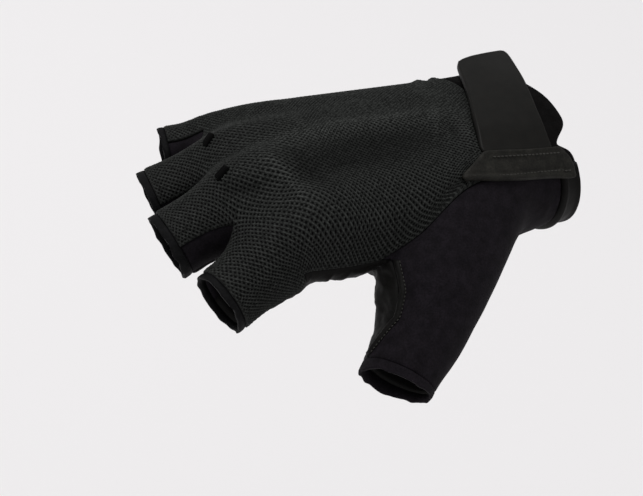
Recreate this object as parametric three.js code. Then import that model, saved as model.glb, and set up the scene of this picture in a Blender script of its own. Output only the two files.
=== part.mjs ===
// A short-finger cycling glove for the right hand, held in the shape that it has on a hand.
// Frame: +X out of the wrist opening, +Y towards the little finger, +Z out of the back of the hand.
// Lengths are in millimetres and angles in degrees.
import * as THREE from "three";

// Driving dimensions: the hand that the glove is cut for.
const palmLength = 80; // wrist joint to the knuckle row
const palmHalfWidth = 43;
const handThickness = 32; // at the knuckles
const webDepth = 19; // knuckle centre to the web between two fingers
const fingerLength = 45; // middle knuckle to the hem
const fingerHalfWidth = 10.6;
const thumbHalfWidth = 15;

// Walls of the panels, outwards from the hand, and the gap that a seam takes up.
const walls = {
  back_panel: 1.6,
  palm_panel: 1.5,
  thumb_panel: 1.3,
  gusset_index_middle: 1.0,
  gusset_middle_ring: 1.0,
  gusset_ring_little: 1.0,
  loop_pad: 1.8,
  wrist_binding: 2.2,
  hem_index: 2.1,
  hem_middle: 2.1,
  hem_ring: 2.1,
  hem_little: 2.1,
  hem_thumb: 2.0,
};
const seamGap = 0.3;
const gussetInset = 0.45; // a gusset is cut narrower, so that it clears the creases beside it
const hemWidth = 2.6;

// The wrist strap and the leather patch that it is sewn to. They lie on the back of the wrist.
const strapWidth = 30;
const strapThickness = 2.4;
const patchLength = 47;
const patchThickness = 1.2;
const layerGap = 0.35; // between a piece and the one under it
const strapTail = 13; // the free end, which stands off the wrist
const wristAxis = { y: -0.09 * palmHalfWidth, z: 0 };
const overhang = 6; // how far a layer may pass the edge of the opening

// The seam ridge down the thumb, and the tabs in two of the webs.
const ridgeWidth = 2.4;
const ridgeHeight = 1.1;
const tabWidth = 3.6;
const tabThickness = 1.3;

// One row for each cross-section of the hand, from the wrist opening to the knuckles. x, slant and tilt
// are shares of palmLength; middle, half, drop and lean of palmHalfWidth; the rest of handThickness.
// drop lowers the little-finger side, lean the index side, and seam is the height of the thumb's seam.
const sections = [
  { name: "opening", x: 0.31, slant: -0.07, tilt: 0.04, middle: -0.1, half: 0.73, top: 0.6, bottom: 0.76, square: 2.2, drop: 0.0, lean: 0.1, seam: 0.06, valley: 0 },
  { name: "binding", x: 0.21, slant: -0.06, tilt: 0.03, middle: -0.11, half: 0.74, top: 0.6, bottom: 0.82, square: 2.3, drop: 0.0, lean: 0.1, seam: 0.08, valley: 0 },
  { name: "strap", x: 0.08, slant: -0.04, tilt: 0.01, middle: -0.12, half: 0.76, top: 0.6, bottom: 0.88, square: 2.4, drop: 0.02, lean: 0.1, seam: 0.1, valley: 0 },
  { name: "wrist", x: -0.04, slant: 0, tilt: 0, middle: -0.12, half: 0.79, top: 0.59, bottom: 0.9, square: 2.5, drop: 0.06, lean: 0.1, seam: 0.14, valley: 0 },
  { name: "carpus", x: -0.26, slant: 0, tilt: 0, middle: -0.09, half: 0.82, top: 0.59, bottom: 0.8, square: 2.6, drop: 0.1, lean: 0.11, seam: 0.08, valley: 0.0 },
  { name: "middle", x: -0.5, slant: 0.03, tilt: 0, middle: -0.06, half: 0.86, top: 0.59, bottom: 0.74, square: 2.6, drop: 0.14, lean: 0.13, seam: -0.12, valley: 0.01 },
  { name: "web", x: -0.73, slant: 0.08, tilt: 0, middle: -0.04, half: 0.91, top: 0.59, bottom: 0.7, square: 2.6, drop: 0.18, lean: 0.14, seam: -0.36, valley: 0.02 },
  { name: "neck", x: -0.88, slant: 0.12, tilt: 0, middle: -0.02, half: 0.94, top: 0.59, bottom: 0.67, square: 2.7, drop: 0.22, lean: 0.14, seam: -0.34, valley: 0.04 },
  { name: "knuckles", x: -1.01, slant: 0.16, tilt: 0, middle: 0.01, half: 0.96, top: 0.58, bottom: 0.62, square: 2.8, drop: 0.25, lean: 0.14, seam: -0.16, valley: 0.09 },
];

// One row for each finger: the knuckle as shares of palmLength, palmHalfWidth and handThickness, the
// width and length as shares of fingerHalfWidth and fingerLength, and how far it turns down and sideways.
const fingers = [
  { name: "index", x: -1.05, y: -0.605, z: -0.234, width: 0.97, length: 0.878, bend: 26, spread: -10 },
  { name: "middle", x: -1.075, y: -0.093, z: 0.031, width: 1, length: 1, bend: 29, spread: 0 },
  { name: "ring", x: -1, y: 0.372, z: -0.062, width: 0.96, length: 0.978, bend: 28, spread: 8 },
  { name: "little", x: -0.887, y: 0.767, z: -0.344, width: 0.87, length: 0.778, bend: 16, spread: 17 },
];

// The ten points round a finger: side and up, as shares of its half width and half height.
const fingerRing = [
  { side: -0.8, up: 0.66 },
  { side: -0.34, up: 1.02 },
  { side: 0.34, up: 1.02 },
  { side: 0.8, up: 0.66 },
  { side: 1.04, up: 0 },
  { side: 0.8, up: -0.66 },
  { side: 0.34, up: -1.02 },
  { side: -0.34, up: -1.02 },
  { side: -0.8, up: -0.66 },
  { side: -1.04, up: 0 },
];

// One row for each ring of the thumb: its centre as shares of palmLength, palmHalfWidth and
// handThickness, its half sizes as shares of thumbHalfWidth, and the angle of the leather's seam, which
// winds from the back of the hand to the side that faces the index finger.
const thumbRings = [
  { x: -0.472, y: -1.047, z: -0.662, width: 1.38, height: 1.16, seam: 26 },
  { x: -0.565, y: -1.233, z: -0.891, width: 1.13, height: 1, seam: 28 },
  { x: -0.633, y: -1.395, z: -1.069, width: 0.96, height: 0.92, seam: 24 },
  { x: -0.706, y: -1.512, z: -1.234, width: 0.84, height: 0.88, seam: 10 },
  { x: -0.75, y: -1.593, z: -1.344, width: 0.81, height: 0.87, seam: 0 },
  { x: -0.775, y: -1.635, z: -1.4, width: 0.81, height: 0.87, seam: -4 },
];

const radians = THREE.MathUtils.degToRad;
const vector = (x, y, z) => new THREE.Vector3(x, y, z);
const ringGrowth = 1.07; // smoothing shrinks a ring of points by this much
const acrossCount = 13; // points from the index side to the little-finger side
const holeRows = { from: 3, to: 6 }; // the thumb leaves the hand between these cross-sections
const holeColumns = 2;

// A point of a cross-section at an angle: 0 at the little-finger side, 90 at the back of the hand.
function sectionPoint(s, angle, valley) {
  const power = 2 / s.square;
  const u = Math.sign(Math.cos(angle)) * Math.pow(Math.abs(Math.cos(angle)), power);
  const v = Math.sign(Math.sin(angle)) * Math.pow(Math.abs(Math.sin(angle)), power);
  const height = (v > 0 ? s.top : s.bottom) * handThickness;
  const drop = s.drop * Math.pow(0.5 + 0.5 * u, 2) + s.lean * Math.pow(0.5 - 0.5 * u, 2);
  return vector(
    (s.x + s.slant * 0.5 * u - s.tilt * v) * palmLength,
    (s.middle + s.half * u) * palmHalfWidth,
    height * v - drop * palmHalfWidth - valley * handThickness,
  );
}

// The points of one cross-section. Every third point of the back is a valley between two fingers.
function sectionRow(s, shares) {
  const angleAt = (u) => Math.acos(Math.sign(u) * Math.pow(Math.abs(u), s.square / 2));
  const v = s.seam / (s.seam > 0 ? s.top : s.bottom);
  const seam = Math.PI - Math.asin(Math.sign(v) * Math.pow(Math.abs(v), s.square / 2));
  const top = shares.map(angleAt);
  const low = top.map((angle) => 2 * Math.PI - angle);
  top[0] = (seam + 2 * top[1]) / 3;
  low[1] = (seam + 2 * low[2]) / 3;
  low[0] = (2 * seam + low[2]) / 3;
  const inValley = (j) => j % 3 === 0 && j > 0 && j < acrossCount - 1;
  return {
    back: top.map((angle, j) => sectionPoint(s, angle, inValley(j) ? s.valley : 0)),
    palm: low.map((angle) => sectionPoint(s, angle, 0)),
    radial: sectionPoint(s, seam, 0),
    ulnar: sectionPoint(s, 0, 0),
  };
}

// A place of one of the tables above in the hand.
const inHand = ({ x, y, z }) => vector(x * palmLength, y * palmHalfWidth, z * handThickness);

// A ring round a finger, at a distance along it from the knuckle.
function ringAt(finger, along, halfWidth, halfHeight) {
  const bend = radians(finger.bend);
  const spread = radians(finger.spread);
  const forward = vector(
    -Math.cos(bend) * Math.cos(spread),
    Math.sin(spread),
    -Math.sin(bend) * Math.cos(spread),
  );
  const side = vector(0, 1, 0).addScaledVector(forward, -forward.y).normalize();
  const up = vector(0, 0, 0).crossVectors(side, forward);
  const centre = inHand(finger).addScaledVector(forward, along);
  return fingerRing.map((p) => centre.clone()
    .addScaledVector(side, p.side * halfWidth * ringGrowth)
    .addScaledVector(up, p.up * halfHeight * ringGrowth));
}

// A row past the knuckles where the four fingers still share their edges. level 1 keeps the back flat
// between two fingers, and level 0 lets the edge fall to the corner of each finger.
function joinedRow(along, level, flatness) {
  const rings = fingers.map((f) => {
    const halfWidth = f.width * fingerHalfWidth;
    return ringAt(f, along, halfWidth, flatness * f.width * handThickness * 0.5);
  });
  const midway = (a, b) => a.clone().lerp(b, 0.5);
  const back = [rings[0][0]];
  const palm = [rings[0][8]];
  const webs = [];
  rings.forEach((ring, i) => {
    const next = rings[i + 1];
    back.push(ring[1], ring[2]);
    palm.push(ring[7], ring[6]);
    if (next) {
      const top = midway(ring[3], next[0]);
      const low = midway(ring[5], next[8]);
      webs.push(midway(top, low));
      back.push(top.lerp(midway(ring[2], next[1]), level));
      palm.push(low.lerp(midway(ring[6], next[7]), level));
    } else {
      back.push(ring[3]);
      palm.push(ring[5]);
    }
  });
  return { back, palm, webs, radial: rings[0][9], ulnar: rings[3][4] };
}

// The directions across the thumb at one of its rings: towards the finger tips, and to the back.
function thumbAxes(index) {
  const from = inHand(thumbRings[Math.max(index - 1, 0)]);
  const to = inHand(thumbRings[Math.min(index + 1, thumbRings.length - 1)]);
  const forward = to.sub(from).normalize();
  const distal = vector(-1, 0, 0).addScaledVector(forward, forward.x).normalize();
  return { distal, dorsal: vector(0, 0, 0).crossVectors(distal, forward) };
}

// The rings of the thumb. Each starts at the seam of the leather.
function thumbRingPoints(index, count) {
  const ring = thumbRings[index];
  const { distal, dorsal } = thumbAxes(index);
  return Array.from({ length: count }, (_, k) => {
    const angle = radians(ring.seam + (360 / count) * k);
    return inHand(ring)
      .addScaledVector(distal, Math.cos(angle) * ring.width * thumbHalfWidth * ringGrowth)
      .addScaledVector(dorsal, Math.sin(angle) * ring.height * thumbHalfWidth * ringGrowth);
  });
}

// The cage of the hand: points, and quads that each carry the name of a panel.
function makeCage() {
  const points = [];
  const quads = [];
  const add = (p) => points.push(p) - 1;
  const addRow = (row) => ({
    back: row.back.map(add),
    palm: row.palm.map(add),
    radial: add(row.radial),
    ulnar: add(row.ulnar),
  });
  const quad = (a, b, c, d, panel) => quads.push({ corners: [a, b, c, d], panel });
  // A tube wall from one ring to the next, seen from outside with the far end at the left.
  const tube = (near, far, panelOf) => near.forEach((p, k) => {
    const n = (k + 1) % near.length;
    quad(p, near[n], far[n], far[k], panelOf(k));
  });

  const total = fingers.reduce((sum, f) => sum + f.width, 0);
  const shares = [];
  let run = 0;
  for (const f of fingers) {
    for (const third of [0, 1, 2]) {
      shares.push((run + (f.width * third) / 3) / total);
    }
    run += f.width;
  }
  shares.push(1);
  const rows = sections.map((s) => addRow(sectionRow(s, shares.map((u) => (2 * u - 1) * 0.93))));
  rows.push(addRow(joinedRow(webDepth * 0.5, 0.7, 0.92)));
  const webRow = joinedRow(webDepth, 0.15, 0.84);
  const webs = webRow.webs.map(add);
  const last = addRow(webRow);
  rows.push(last);

  // The hand itself.
  for (let r = 0; r + 1 < rows.length; r += 1) {
    const a = rows[r];
    const b = rows[r + 1];
    const hole = r >= holeRows.from && r < holeRows.to;
    const atWrist = r < holeRows.from;
    const onBack = atWrist ? "loop_pad" : "back_panel";
    const onPalm = r === 0 ? "wrist_binding" : "palm_panel";
    const underSeam = r === 0 ? "wrist_binding" : atWrist ? "thumb_panel" : "back_panel";
    for (let j = 0; j + 1 < acrossCount; j += 1) {
      quad(a.back[j], a.back[j + 1], b.back[j + 1], b.back[j], onBack);
      if (!hole || j >= holeColumns) {
        const panel = atWrist && j < holeColumns ? underSeam : onPalm;
        quad(a.palm[j + 1], a.palm[j], b.palm[j], b.palm[j + 1], panel);
      }
    }
    quad(a.radial, a.back[0], b.back[0], b.radial, onBack);
    quad(a.back[acrossCount - 1], a.ulnar, b.ulnar, b.back[acrossCount - 1], onBack);
    quad(a.ulnar, a.palm[acrossCount - 1], b.palm[acrossCount - 1], b.ulnar, onBack);
    if (!hole) {
      quad(a.palm[0], a.radial, b.radial, b.palm[0], underSeam);
    }
  }

  // The fingers, from the web to the hem.
  fingers.forEach((f, i) => {
    const next = fingers[i + 1];
    const before = fingers[i - 1];
    const outer = next ? `gusset_${f.name}_${next.name}` : "back_panel";
    const inner = before ? `gusset_${before.name}_${f.name}` : "back_panel";
    const panels = [
      "back_panel", "back_panel", "back_panel", outer, outer,
      "palm_panel", "palm_panel", "palm_panel", inner, inner,
    ];
    const halfWidth = f.width * fingerHalfWidth;
    const length = f.length * fingerLength;
    const reach = length - webDepth;
    const stations = [
      { along: webDepth + reach * 0.45, size: 0.93, panel: (k) => panels[k] },
      { along: length - hemWidth, size: 1.0, panel: (k) => panels[k] },
      { along: length, size: 1.0, panel: () => `hem_${f.name}` },
    ];
    let near = [
      ...last.back.slice(3 * i, 3 * i + 4),
      next ? webs[i] : last.ulnar,
      ...last.palm.slice(3 * i, 3 * i + 4).reverse(),
      before ? webs[i - 1] : last.radial,
    ];
    for (const s of stations) {
      const far = ringAt(f, s.along, halfWidth * s.size, halfWidth * s.size * 1.03).map(add);
      tube(near, far, s.panel);
      near = far;
    }
  });

  // The thumb, from the edge of the hole to the hem.
  const [r3, r4, r5, r6] = rows.slice(holeRows.from, holeRows.to + 1);
  let near = [
    r6.radial, r5.radial, r4.radial, r3.radial,
    r3.palm[0], r3.palm[1], r3.palm[2],
    r4.palm[2], r5.palm[2], r6.palm[2],
    r6.palm[1], r6.palm[0],
  ];
  thumbRings.forEach((_, i) => {
    const far = thumbRingPoints(i, near.length).map(add);
    const end = i === thumbRings.length - 1;
    near.forEach((p, k) => {
      const n = (k + 1) % near.length;
      const panel = k < near.length / 2 ? "thumb_panel" : "palm_panel";
      quad(p, far[k], far[n], near[n], end ? "hem_thumb" : panel);
    });
    near = far;
  });
  return { points, quads };
}

// One step of smoothing. Each quad becomes four of the same panel, and open edges stay in their curve.
function smooth({ points, quads }) {
  const key = (a, b) => (a < b ? `${a}_${b}` : `${b}_${a}`);
  const next = points.map(() => null);
  const append = (p) => next.push(p) - 1;
  const facesAt = points.map(() => []);
  const edgesAt = points.map(() => []);
  const edges = new Map();
  const centres = quads.map(({ corners }) => {
    const centre = vector(0, 0, 0);
    corners.forEach((c) => centre.addScaledVector(points[c], 0.25));
    return append(centre);
  });
  quads.forEach(({ corners }, f) => corners.forEach((c, k) => {
    const d = corners[(k + 1) % 4];
    const name = key(c, d);
    if (!edges.has(name)) {
      edges.set(name, { ends: [c, d], faces: [] });
      edgesAt[c].push(name);
      edgesAt[d].push(name);
    }
    edges.get(name).faces.push(f);
    facesAt[c].push(f);
  }));
  for (const edge of edges.values()) {
    const [a, b] = edge.ends.map((i) => points[i]);
    const middle = a.clone().lerp(b, 0.5);
    if (edge.faces.length === 2) {
      const [f, g] = edge.faces.map((i) => next[centres[i]]);
      middle.lerp(f.clone().lerp(g, 0.5), 0.5);
    }
    edge.id = append(middle);
  }
  points.forEach((p, i) => {
    const around = edgesAt[i].map((name) => edges.get(name));
    const open = around.filter((edge) => edge.faces.length === 1);
    const farEnd = (edge) => points[edge.ends[0] === i ? edge.ends[1] : edge.ends[0]];
    next[i] = p.clone();
    if (open.length === 2) {
      next[i].multiplyScalar(0.75);
      open.forEach((edge) => next[i].addScaledVector(farEnd(edge), 0.125));
      return;
    }
    const n = around.length;
    if (n === 0) {
      return;
    }
    next[i].multiplyScalar((n - 3) / n);
    facesAt[i].forEach((f) => next[i].addScaledVector(next[centres[f]], 1 / (n * n)));
    around.forEach((edge) => {
      next[i].addScaledVector(p.clone().lerp(farEnd(edge), 0.5), 2 / (n * n));
    });
  });
  const finer = [];
  quads.forEach(({ corners, panel }, f) => corners.forEach((c, k) => {
    const after = edges.get(key(c, corners[(k + 1) % 4])).id;
    const ahead = edges.get(key(corners[(k + 3) % 4], c)).id;
    finer.push({ corners: [c, after, centres[f], ahead], panel });
  }));
  return { points: next, quads: finer };
}

// The outward direction at each point of a surface.
function normalsOf({ points, quads }) {
  const normals = points.map(() => vector(0, 0, 0));
  for (const { corners } of quads) {
    const [a, b, c, d] = corners.map((i) => points[i]);
    const normal = c.clone().sub(a).cross(d.clone().sub(b));
    corners.forEach((i) => normals[i].add(normal));
  }
  return normals.map((n) => n.normalize());
}

// A closed shell over part of a surface, from one height above it to another. Its edges are drawn in
// along the surface by inset.
function shell({ points, quads }, normals, low, high, inset) {
  const key = (a, b) => `${a}_${b}`;
  const directed = new Set();
  quads.forEach(({ corners }) => corners.forEach((c, k) => directed.add(key(c, corners[(k + 1) % 4]))));
  const rim = [];
  const inward = new Map();
  quads.forEach(({ corners }) => corners.forEach((a, k) => {
    const b = corners[(k + 1) % 4];
    if (directed.has(key(b, a))) {
      return;
    }
    rim.push([a, b]);
    const along = points[b].clone().sub(points[a]);
    for (const i of [a, b]) {
      const into = normals[i].clone().cross(along).normalize();
      inward.set(i, [...(inward.get(i) ?? []), into]);
    }
  }));
  const used = [...new Set(quads.flatMap(({ corners }) => corners))];
  const place = new Map(used.map((i, order) => [i, order]));
  const positions = [];
  for (const height of [low, high]) {
    for (const i of used) {
      const p = points[i].clone().addScaledVector(normals[i], height);
      const [first, second] = inward.get(i) ?? [];
      if (first) {
        const move = first.clone().add(second ?? first);
        const spread = Math.max(1 + first.dot(second ?? first), 0.6);
        p.addScaledVector(move, inset / spread);
      }
      positions.push(p.x, p.y, p.z);
    }
  }
  const lowAt = (i) => place.get(i);
  const highAt = (i) => place.get(i) + used.length;
  const triangles = [];
  const face = (a, b, c, d) => triangles.push(a, b, c, a, c, d);
  for (const { corners } of quads) {
    const [a, b, c, d] = corners;
    face(highAt(a), highAt(b), highAt(c), highAt(d));
    face(lowAt(d), lowAt(c), lowAt(b), lowAt(a));
  }
  for (const [a, b] of rim) {
    face(highAt(b), highAt(a), lowAt(a), lowAt(b));
  }
  const geometry = new THREE.BufferGeometry();
  geometry.setAttribute("position", new THREE.Float32BufferAttribute(positions, 3));
  geometry.setIndex(triangles);
  geometry.computeVertexNormals();
  return geometry;
}

const skin = smooth(makeCage());
const skinNormals = normalsOf(skin);

// Where a straight line from inside the glove leaves its outside.
const outerTriangles = [];
for (const { corners, panel } of skin.quads) {
  if (!panel.startsWith("hem")) {
    const [a, b, c, d] = corners.map((i) =>
      skin.points[i].clone().addScaledVector(skinNormals[i], walls[panel]));
    outerTriangles.push([a, b, c], [a, c, d]);
  }
}
function outside(origin, direction) {
  const ray = new THREE.Ray(origin, direction);
  const hit = vector(0, 0, 0);
  let best = null;
  for (const [a, b, c] of outerTriangles) {
    const found = ray.intersectTriangle(a, b, c, false, hit);
    if (found && (!best || hit.distanceTo(origin) < best.distanceTo(origin))) {
      best = hit.clone();
    }
  }
  return best;
}
// A point on the outside of the wrist: x along the wrist, and the angle round its axis. Past the edge
// of the opening it keeps the height that the edge has.
function onWrist(x, angle) {
  const out = vector(0, Math.cos(radians(angle)), Math.sin(radians(angle)));
  for (let back = 0; back < overhang; back += 0.5) {
    const hit = outside(vector(x - back, wristAxis.y, wristAxis.z), out);
    if (hit) {
      return hit.setX(x);
    }
  }
  throw new Error(`nothing of the wrist at x ${x}, angle ${angle}`);
}

// A grid of points as a surface: rows run along, and each row runs across. It faces away from the wrist.
function gridSurface(grid) {
  const width = grid[0].length;
  const quads = [];
  for (let i = 0; i + 1 < grid.length; i += 1) {
    for (let j = 0; j + 1 < width; j += 1) {
      const a = i * width + j;
      quads.push({ corners: [a, a + 1, a + width + 1, a + width] });
    }
  }
  return { points: grid.flat(), quads };
}

const glove = new THREE.Group();
glove.name = "cycling_glove";

const cloth = {
  back_panel: { color: 0x1f1f1f, roughness: 0.92 },
  palm_panel: { color: 0x1b1b1b, roughness: 0.62 },
  thumb_panel: { color: 0x1e1b1f, roughness: 0.95 },
  gusset: { color: 0x19181a, roughness: 0.95 },
  loop_pad: { color: 0x191919, roughness: 0.98 },
  wrist_binding: { color: 0x1c1c1b, roughness: 0.6 },
  hem: { color: 0x161616, roughness: 0.9 },
  strap_patch: { color: 0x201f1e, roughness: 0.6 },
  strap: { color: 0x242322, roughness: 0.55 },
  thumb_seam: { color: 0x1d1d1c, roughness: 0.6 },
  web_tab: { color: 0x171717, roughness: 0.9 },
};
function addPiece(name, geometry) {
  const look = cloth[name] ?? Object.entries(cloth).find(([key]) => name.startsWith(key))[1];
  const material = new THREE.MeshStandardMaterial({ ...look, metalness: 0 });
  const mesh = new THREE.Mesh(geometry, material);
  mesh.name = name;
  glove.add(mesh);
}

for (const [name, wall] of Object.entries(walls)) {
  const quads = skin.quads.filter(({ panel }) => panel === name);
  const inset = name.startsWith("gusset") ? gussetInset : seamGap / 2;
  addPiece(name, shell({ points: skin.points, quads }, skinNormals, 0, wall, inset));
}

// A layer that lies on the wrist. Each row of its table gives the angle of its two ends, and their x as
// a share of the layer's own size.
function wristLayer(rows, size, steps) {
  return rows.map((row) => Array.from({ length: steps + 1 }, (_, j) => {
    const share = j / steps;
    const x = THREE.MathUtils.lerp(row.fromX, row.toX, share);
    return onWrist(x * size, THREE.MathUtils.lerp(row.fromAngle, row.toAngle, share));
  }));
}

// The leather patch on the index side of the wrist, with a point at its far end.
const patchRows = [
  { fromAngle: 160, fromX: -0.468, toAngle: 172, toX: 0.479 },
  { fromAngle: 156, fromX: -0.511, toAngle: 167, toX: 0.489 },
  { fromAngle: 152, fromX: -0.457, toAngle: 161, toX: 0.489 },
  { fromAngle: 148, fromX: -0.394, toAngle: 155, toX: 0.457 },
  { fromAngle: 144, fromX: -0.319, toAngle: 150, toX: 0.415 },
];
const patch = gridSurface(wristLayer(patchRows, patchLength, 12));
const patchTop = layerGap + patchThickness;
addPiece("strap_patch", shell(patch, normalsOf(patch), layerGap, patchTop, 0));

// The strap starts over the patch, crosses the back of the wrist and ends in a straight tail.
const strapRows = [
  { fromAngle: 145, fromX: -0.517, toAngle: 151.5, toX: 0.5 },
  { fromAngle: 135, fromX: -0.473, toAngle: 142, toX: 0.487 },
  { fromAngle: 122, fromX: -0.417, toAngle: 129, toX: 0.493 },
  { fromAngle: 104, fromX: -0.34, toAngle: 110, toX: 0.533 },
  { fromAngle: 88, fromX: -0.26, toAngle: 91, toX: 0.587 },
  { fromAngle: 72, fromX: -0.18, toAngle: 73, toX: 0.65 },
  { fromAngle: 58, fromX: -0.113, toAngle: 58, toX: 0.7 },
];
const strapGrid = wristLayer(strapRows, strapWidth, 6);
const tailStart = strapGrid[strapGrid.length - 1];
const beforeTail = strapGrid[strapGrid.length - 2];
for (const share of [0.5, 1]) {
  strapGrid.push(tailStart.map((p, j) => {
    const along = p.clone().sub(beforeTail[j]).normalize();
    return p.clone().addScaledVector(along, strapTail * share);
  }));
}
const strap = gridSurface(strapGrid);
const strapBase = patchTop + layerGap;
addPiece("strap", shell(strap, normalsOf(strap), strapBase, strapBase + strapThickness, 0));

// The raised seam down the thumb, along the edge of the leather. Its stations count thumb rings.
const ridgeStations = [0.3, 0.5, 0.75, 1, 1.25, 1.5, 1.75, 2, 2.25, 2.5, 2.75, 3, 3.35, 3.7];
const ridgeGrid = ridgeStations.map((station) => {
  const index = Math.floor(station);
  const ring = thumbRings[index];
  const next = thumbRings[index + 1];
  const between = (key) => THREE.MathUtils.lerp(ring[key], next[key], station - index);
  const { distal, dorsal } = thumbAxes(index);
  const halfTurn = ridgeWidth / 2 / (between("width") * thumbHalfWidth);
  return [1, 0, -1].map((side) => {
    const angle = radians(between("seam")) + side * halfTurn;
    const out = distal.clone().multiplyScalar(Math.cos(angle)).addScaledVector(dorsal, Math.sin(angle));
    return outside(inHand(ring).lerp(inHand(next), station - index), out);
  });
});
const ridge = gridSurface(ridgeGrid);
addPiece("thumb_seam", shell(ridge, normalsOf(ridge), layerGap, layerGap + ridgeHeight, 0));

// The pull tabs beside two of the webs: their ends, as shares of palmLength and palmHalfWidth.
const tabs = [
  { name: "web_tab_middle_ring", fromX: -1.314, fromY: -0.03, toX: -1.372, toY: -0.07 },
  { name: "web_tab_ring_little", fromX: -1.23, fromY: 0.505, toX: -1.287, toY: 0.428 },
];
for (const { name, fromX, fromY, toX, toY } of tabs) {
  const grid = [0, 0.25, 0.5, 0.75, 1].map((share) => [1, 0.5, 0, -0.5, -1].map((side) => {
    const x = THREE.MathUtils.lerp(fromX, toX, share) * palmLength;
    const y = THREE.MathUtils.lerp(fromY, toY, share) * palmHalfWidth - (side * tabWidth) / 2;
    return outside(vector(x, y, -handThickness / 2), vector(0, 0, 1));
  }));
  const surface = gridSurface(grid);
  addPiece(name, shell(surface, normalsOf(surface), layerGap, layerGap + tabThickness, 0));
}

export default glove;
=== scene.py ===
"""A short-finger cycling glove for the right hand, dressed over its solid model.

The glove keeps the form that it has on a hand. One smooth surface stands for the skin of that hand, and
every panel is a wall of its own material on that surface, with a soft edge where it meets its seam.
"""
import functools
import math
from collections import namedtuple

import bpy
import numpy as np
from bpy.props import FloatProperty, FloatVectorProperty, PointerProperty
from mathutils import Matrix, Vector, noise
from mathutils.bvhtree import BVHTree
from mathutils.kdtree import KDTree


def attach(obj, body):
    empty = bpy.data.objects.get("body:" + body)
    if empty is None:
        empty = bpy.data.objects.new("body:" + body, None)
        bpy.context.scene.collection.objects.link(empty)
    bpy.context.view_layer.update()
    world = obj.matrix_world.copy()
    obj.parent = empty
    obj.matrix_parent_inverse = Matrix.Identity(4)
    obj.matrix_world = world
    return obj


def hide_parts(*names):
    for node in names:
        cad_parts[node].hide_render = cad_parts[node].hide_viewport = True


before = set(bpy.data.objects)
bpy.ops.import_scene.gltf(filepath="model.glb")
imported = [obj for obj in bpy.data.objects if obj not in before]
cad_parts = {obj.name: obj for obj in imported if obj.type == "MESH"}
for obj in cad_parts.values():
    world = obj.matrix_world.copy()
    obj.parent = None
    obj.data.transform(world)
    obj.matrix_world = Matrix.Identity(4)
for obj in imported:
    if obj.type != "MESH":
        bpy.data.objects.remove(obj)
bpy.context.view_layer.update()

bl_info = {
    "name": "Cycling glove",
    "version": (1, 0, 0),
    "blender": (4, 5, 0),
    "location": "View3D > Sidebar > Glove",
    "description": "Builds a knitted and leather cycling glove over its solid model",
    "category": "Object",
}

BODY = "root"
MM = 0.001

# The cross-sections of the hand, from the wrist opening to the knuckles. x, slant and tilt are shares of
# the palm's length; middle, half, drop and lean of its half width; top, bottom, seam and valley of the
# hand's thickness. square is the power that makes a section squarer than an ellipse.
Section = namedtuple("Section", "x slant tilt middle half top bottom square drop lean seam valley")
SECTIONS = (
    Section(0.31, -0.07, 0.04, -0.10, 0.73, 0.60, 0.76, 2.2, 0.00, 0.10, 0.40, 0.00),
    Section(0.21, -0.06, 0.03, -0.11, 0.74, 0.60, 0.82, 2.3, 0.00, 0.10, 0.42, 0.00),
    Section(0.08, -0.04, 0.01, -0.12, 0.76, 0.60, 0.88, 2.4, 0.02, 0.10, 0.48, 0.00),
    Section(0.01, 0.00, 0.00, -0.12, 0.79, 0.59, 0.90, 2.5, 0.06, 0.10, 0.50, 0.00),
    Section(-0.26, 0.00, 0.00, -0.09, 0.82, 0.59, 0.80, 2.6, 0.10, 0.11, 0.505, 0.00),
    Section(-0.50, 0.03, 0.00, -0.06, 0.86, 0.59, 0.74, 2.6, 0.14, 0.13, 0.00, 0.01),
    Section(-0.73, 0.08, 0.00, -0.04, 0.91, 0.59, 0.70, 2.6, 0.18, 0.14, -0.27, 0.02),
    Section(-0.88, 0.12, 0.00, -0.02, 0.94, 0.59, 0.67, 2.7, 0.22, 0.14, -0.24, 0.04),
    Section(-1.01, 0.16, 0.00, 0.01, 0.96, 0.58, 0.62, 2.8, 0.25, 0.14, -0.20, 0.09),
)

# How far the edge of the loop pad stands out along the wrist at each point of the opening's back, as
# shares of the palm's length. It has a notch beside the patch.
OPENING_EDGE = (-0.02, -0.07, -0.07, 0.04, 0.05, 0.055, 0.05, 0.03, 0.01, 0, 0, 0, 0)

# The fingers: the knuckle as shares of the palm's length, its half width and the hand's thickness, the
# width and length as shares of the named sizes, and how far the finger turns down and sideways.
Finger = namedtuple("Finger", "name x y z width length bend spread")
FINGERS = (
    Finger("index", -1.05, -0.605, -0.234, 0.97, 0.878, 26, -10),
    Finger("middle", -1.075, -0.093, 0.031, 1.0, 1.0, 29, 0),
    Finger("ring", -1.0, 0.372, -0.062, 0.96, 0.978, 28, 8),
    Finger("little", -0.888, 0.767, -0.344, 0.87, 0.778, 16, 17),
)

# The points round a finger: side and up, as shares of its half width and half height.
FINGER_RING = (
    (-0.8, 0.66), (-0.34, 1.02), (0.34, 1.02), (0.8, 0.66), (1.04, 0.0),
    (0.8, -0.66), (0.34, -1.02), (-0.34, -1.02), (-0.8, -0.66), (-1.04, 0.0),
)

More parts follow.
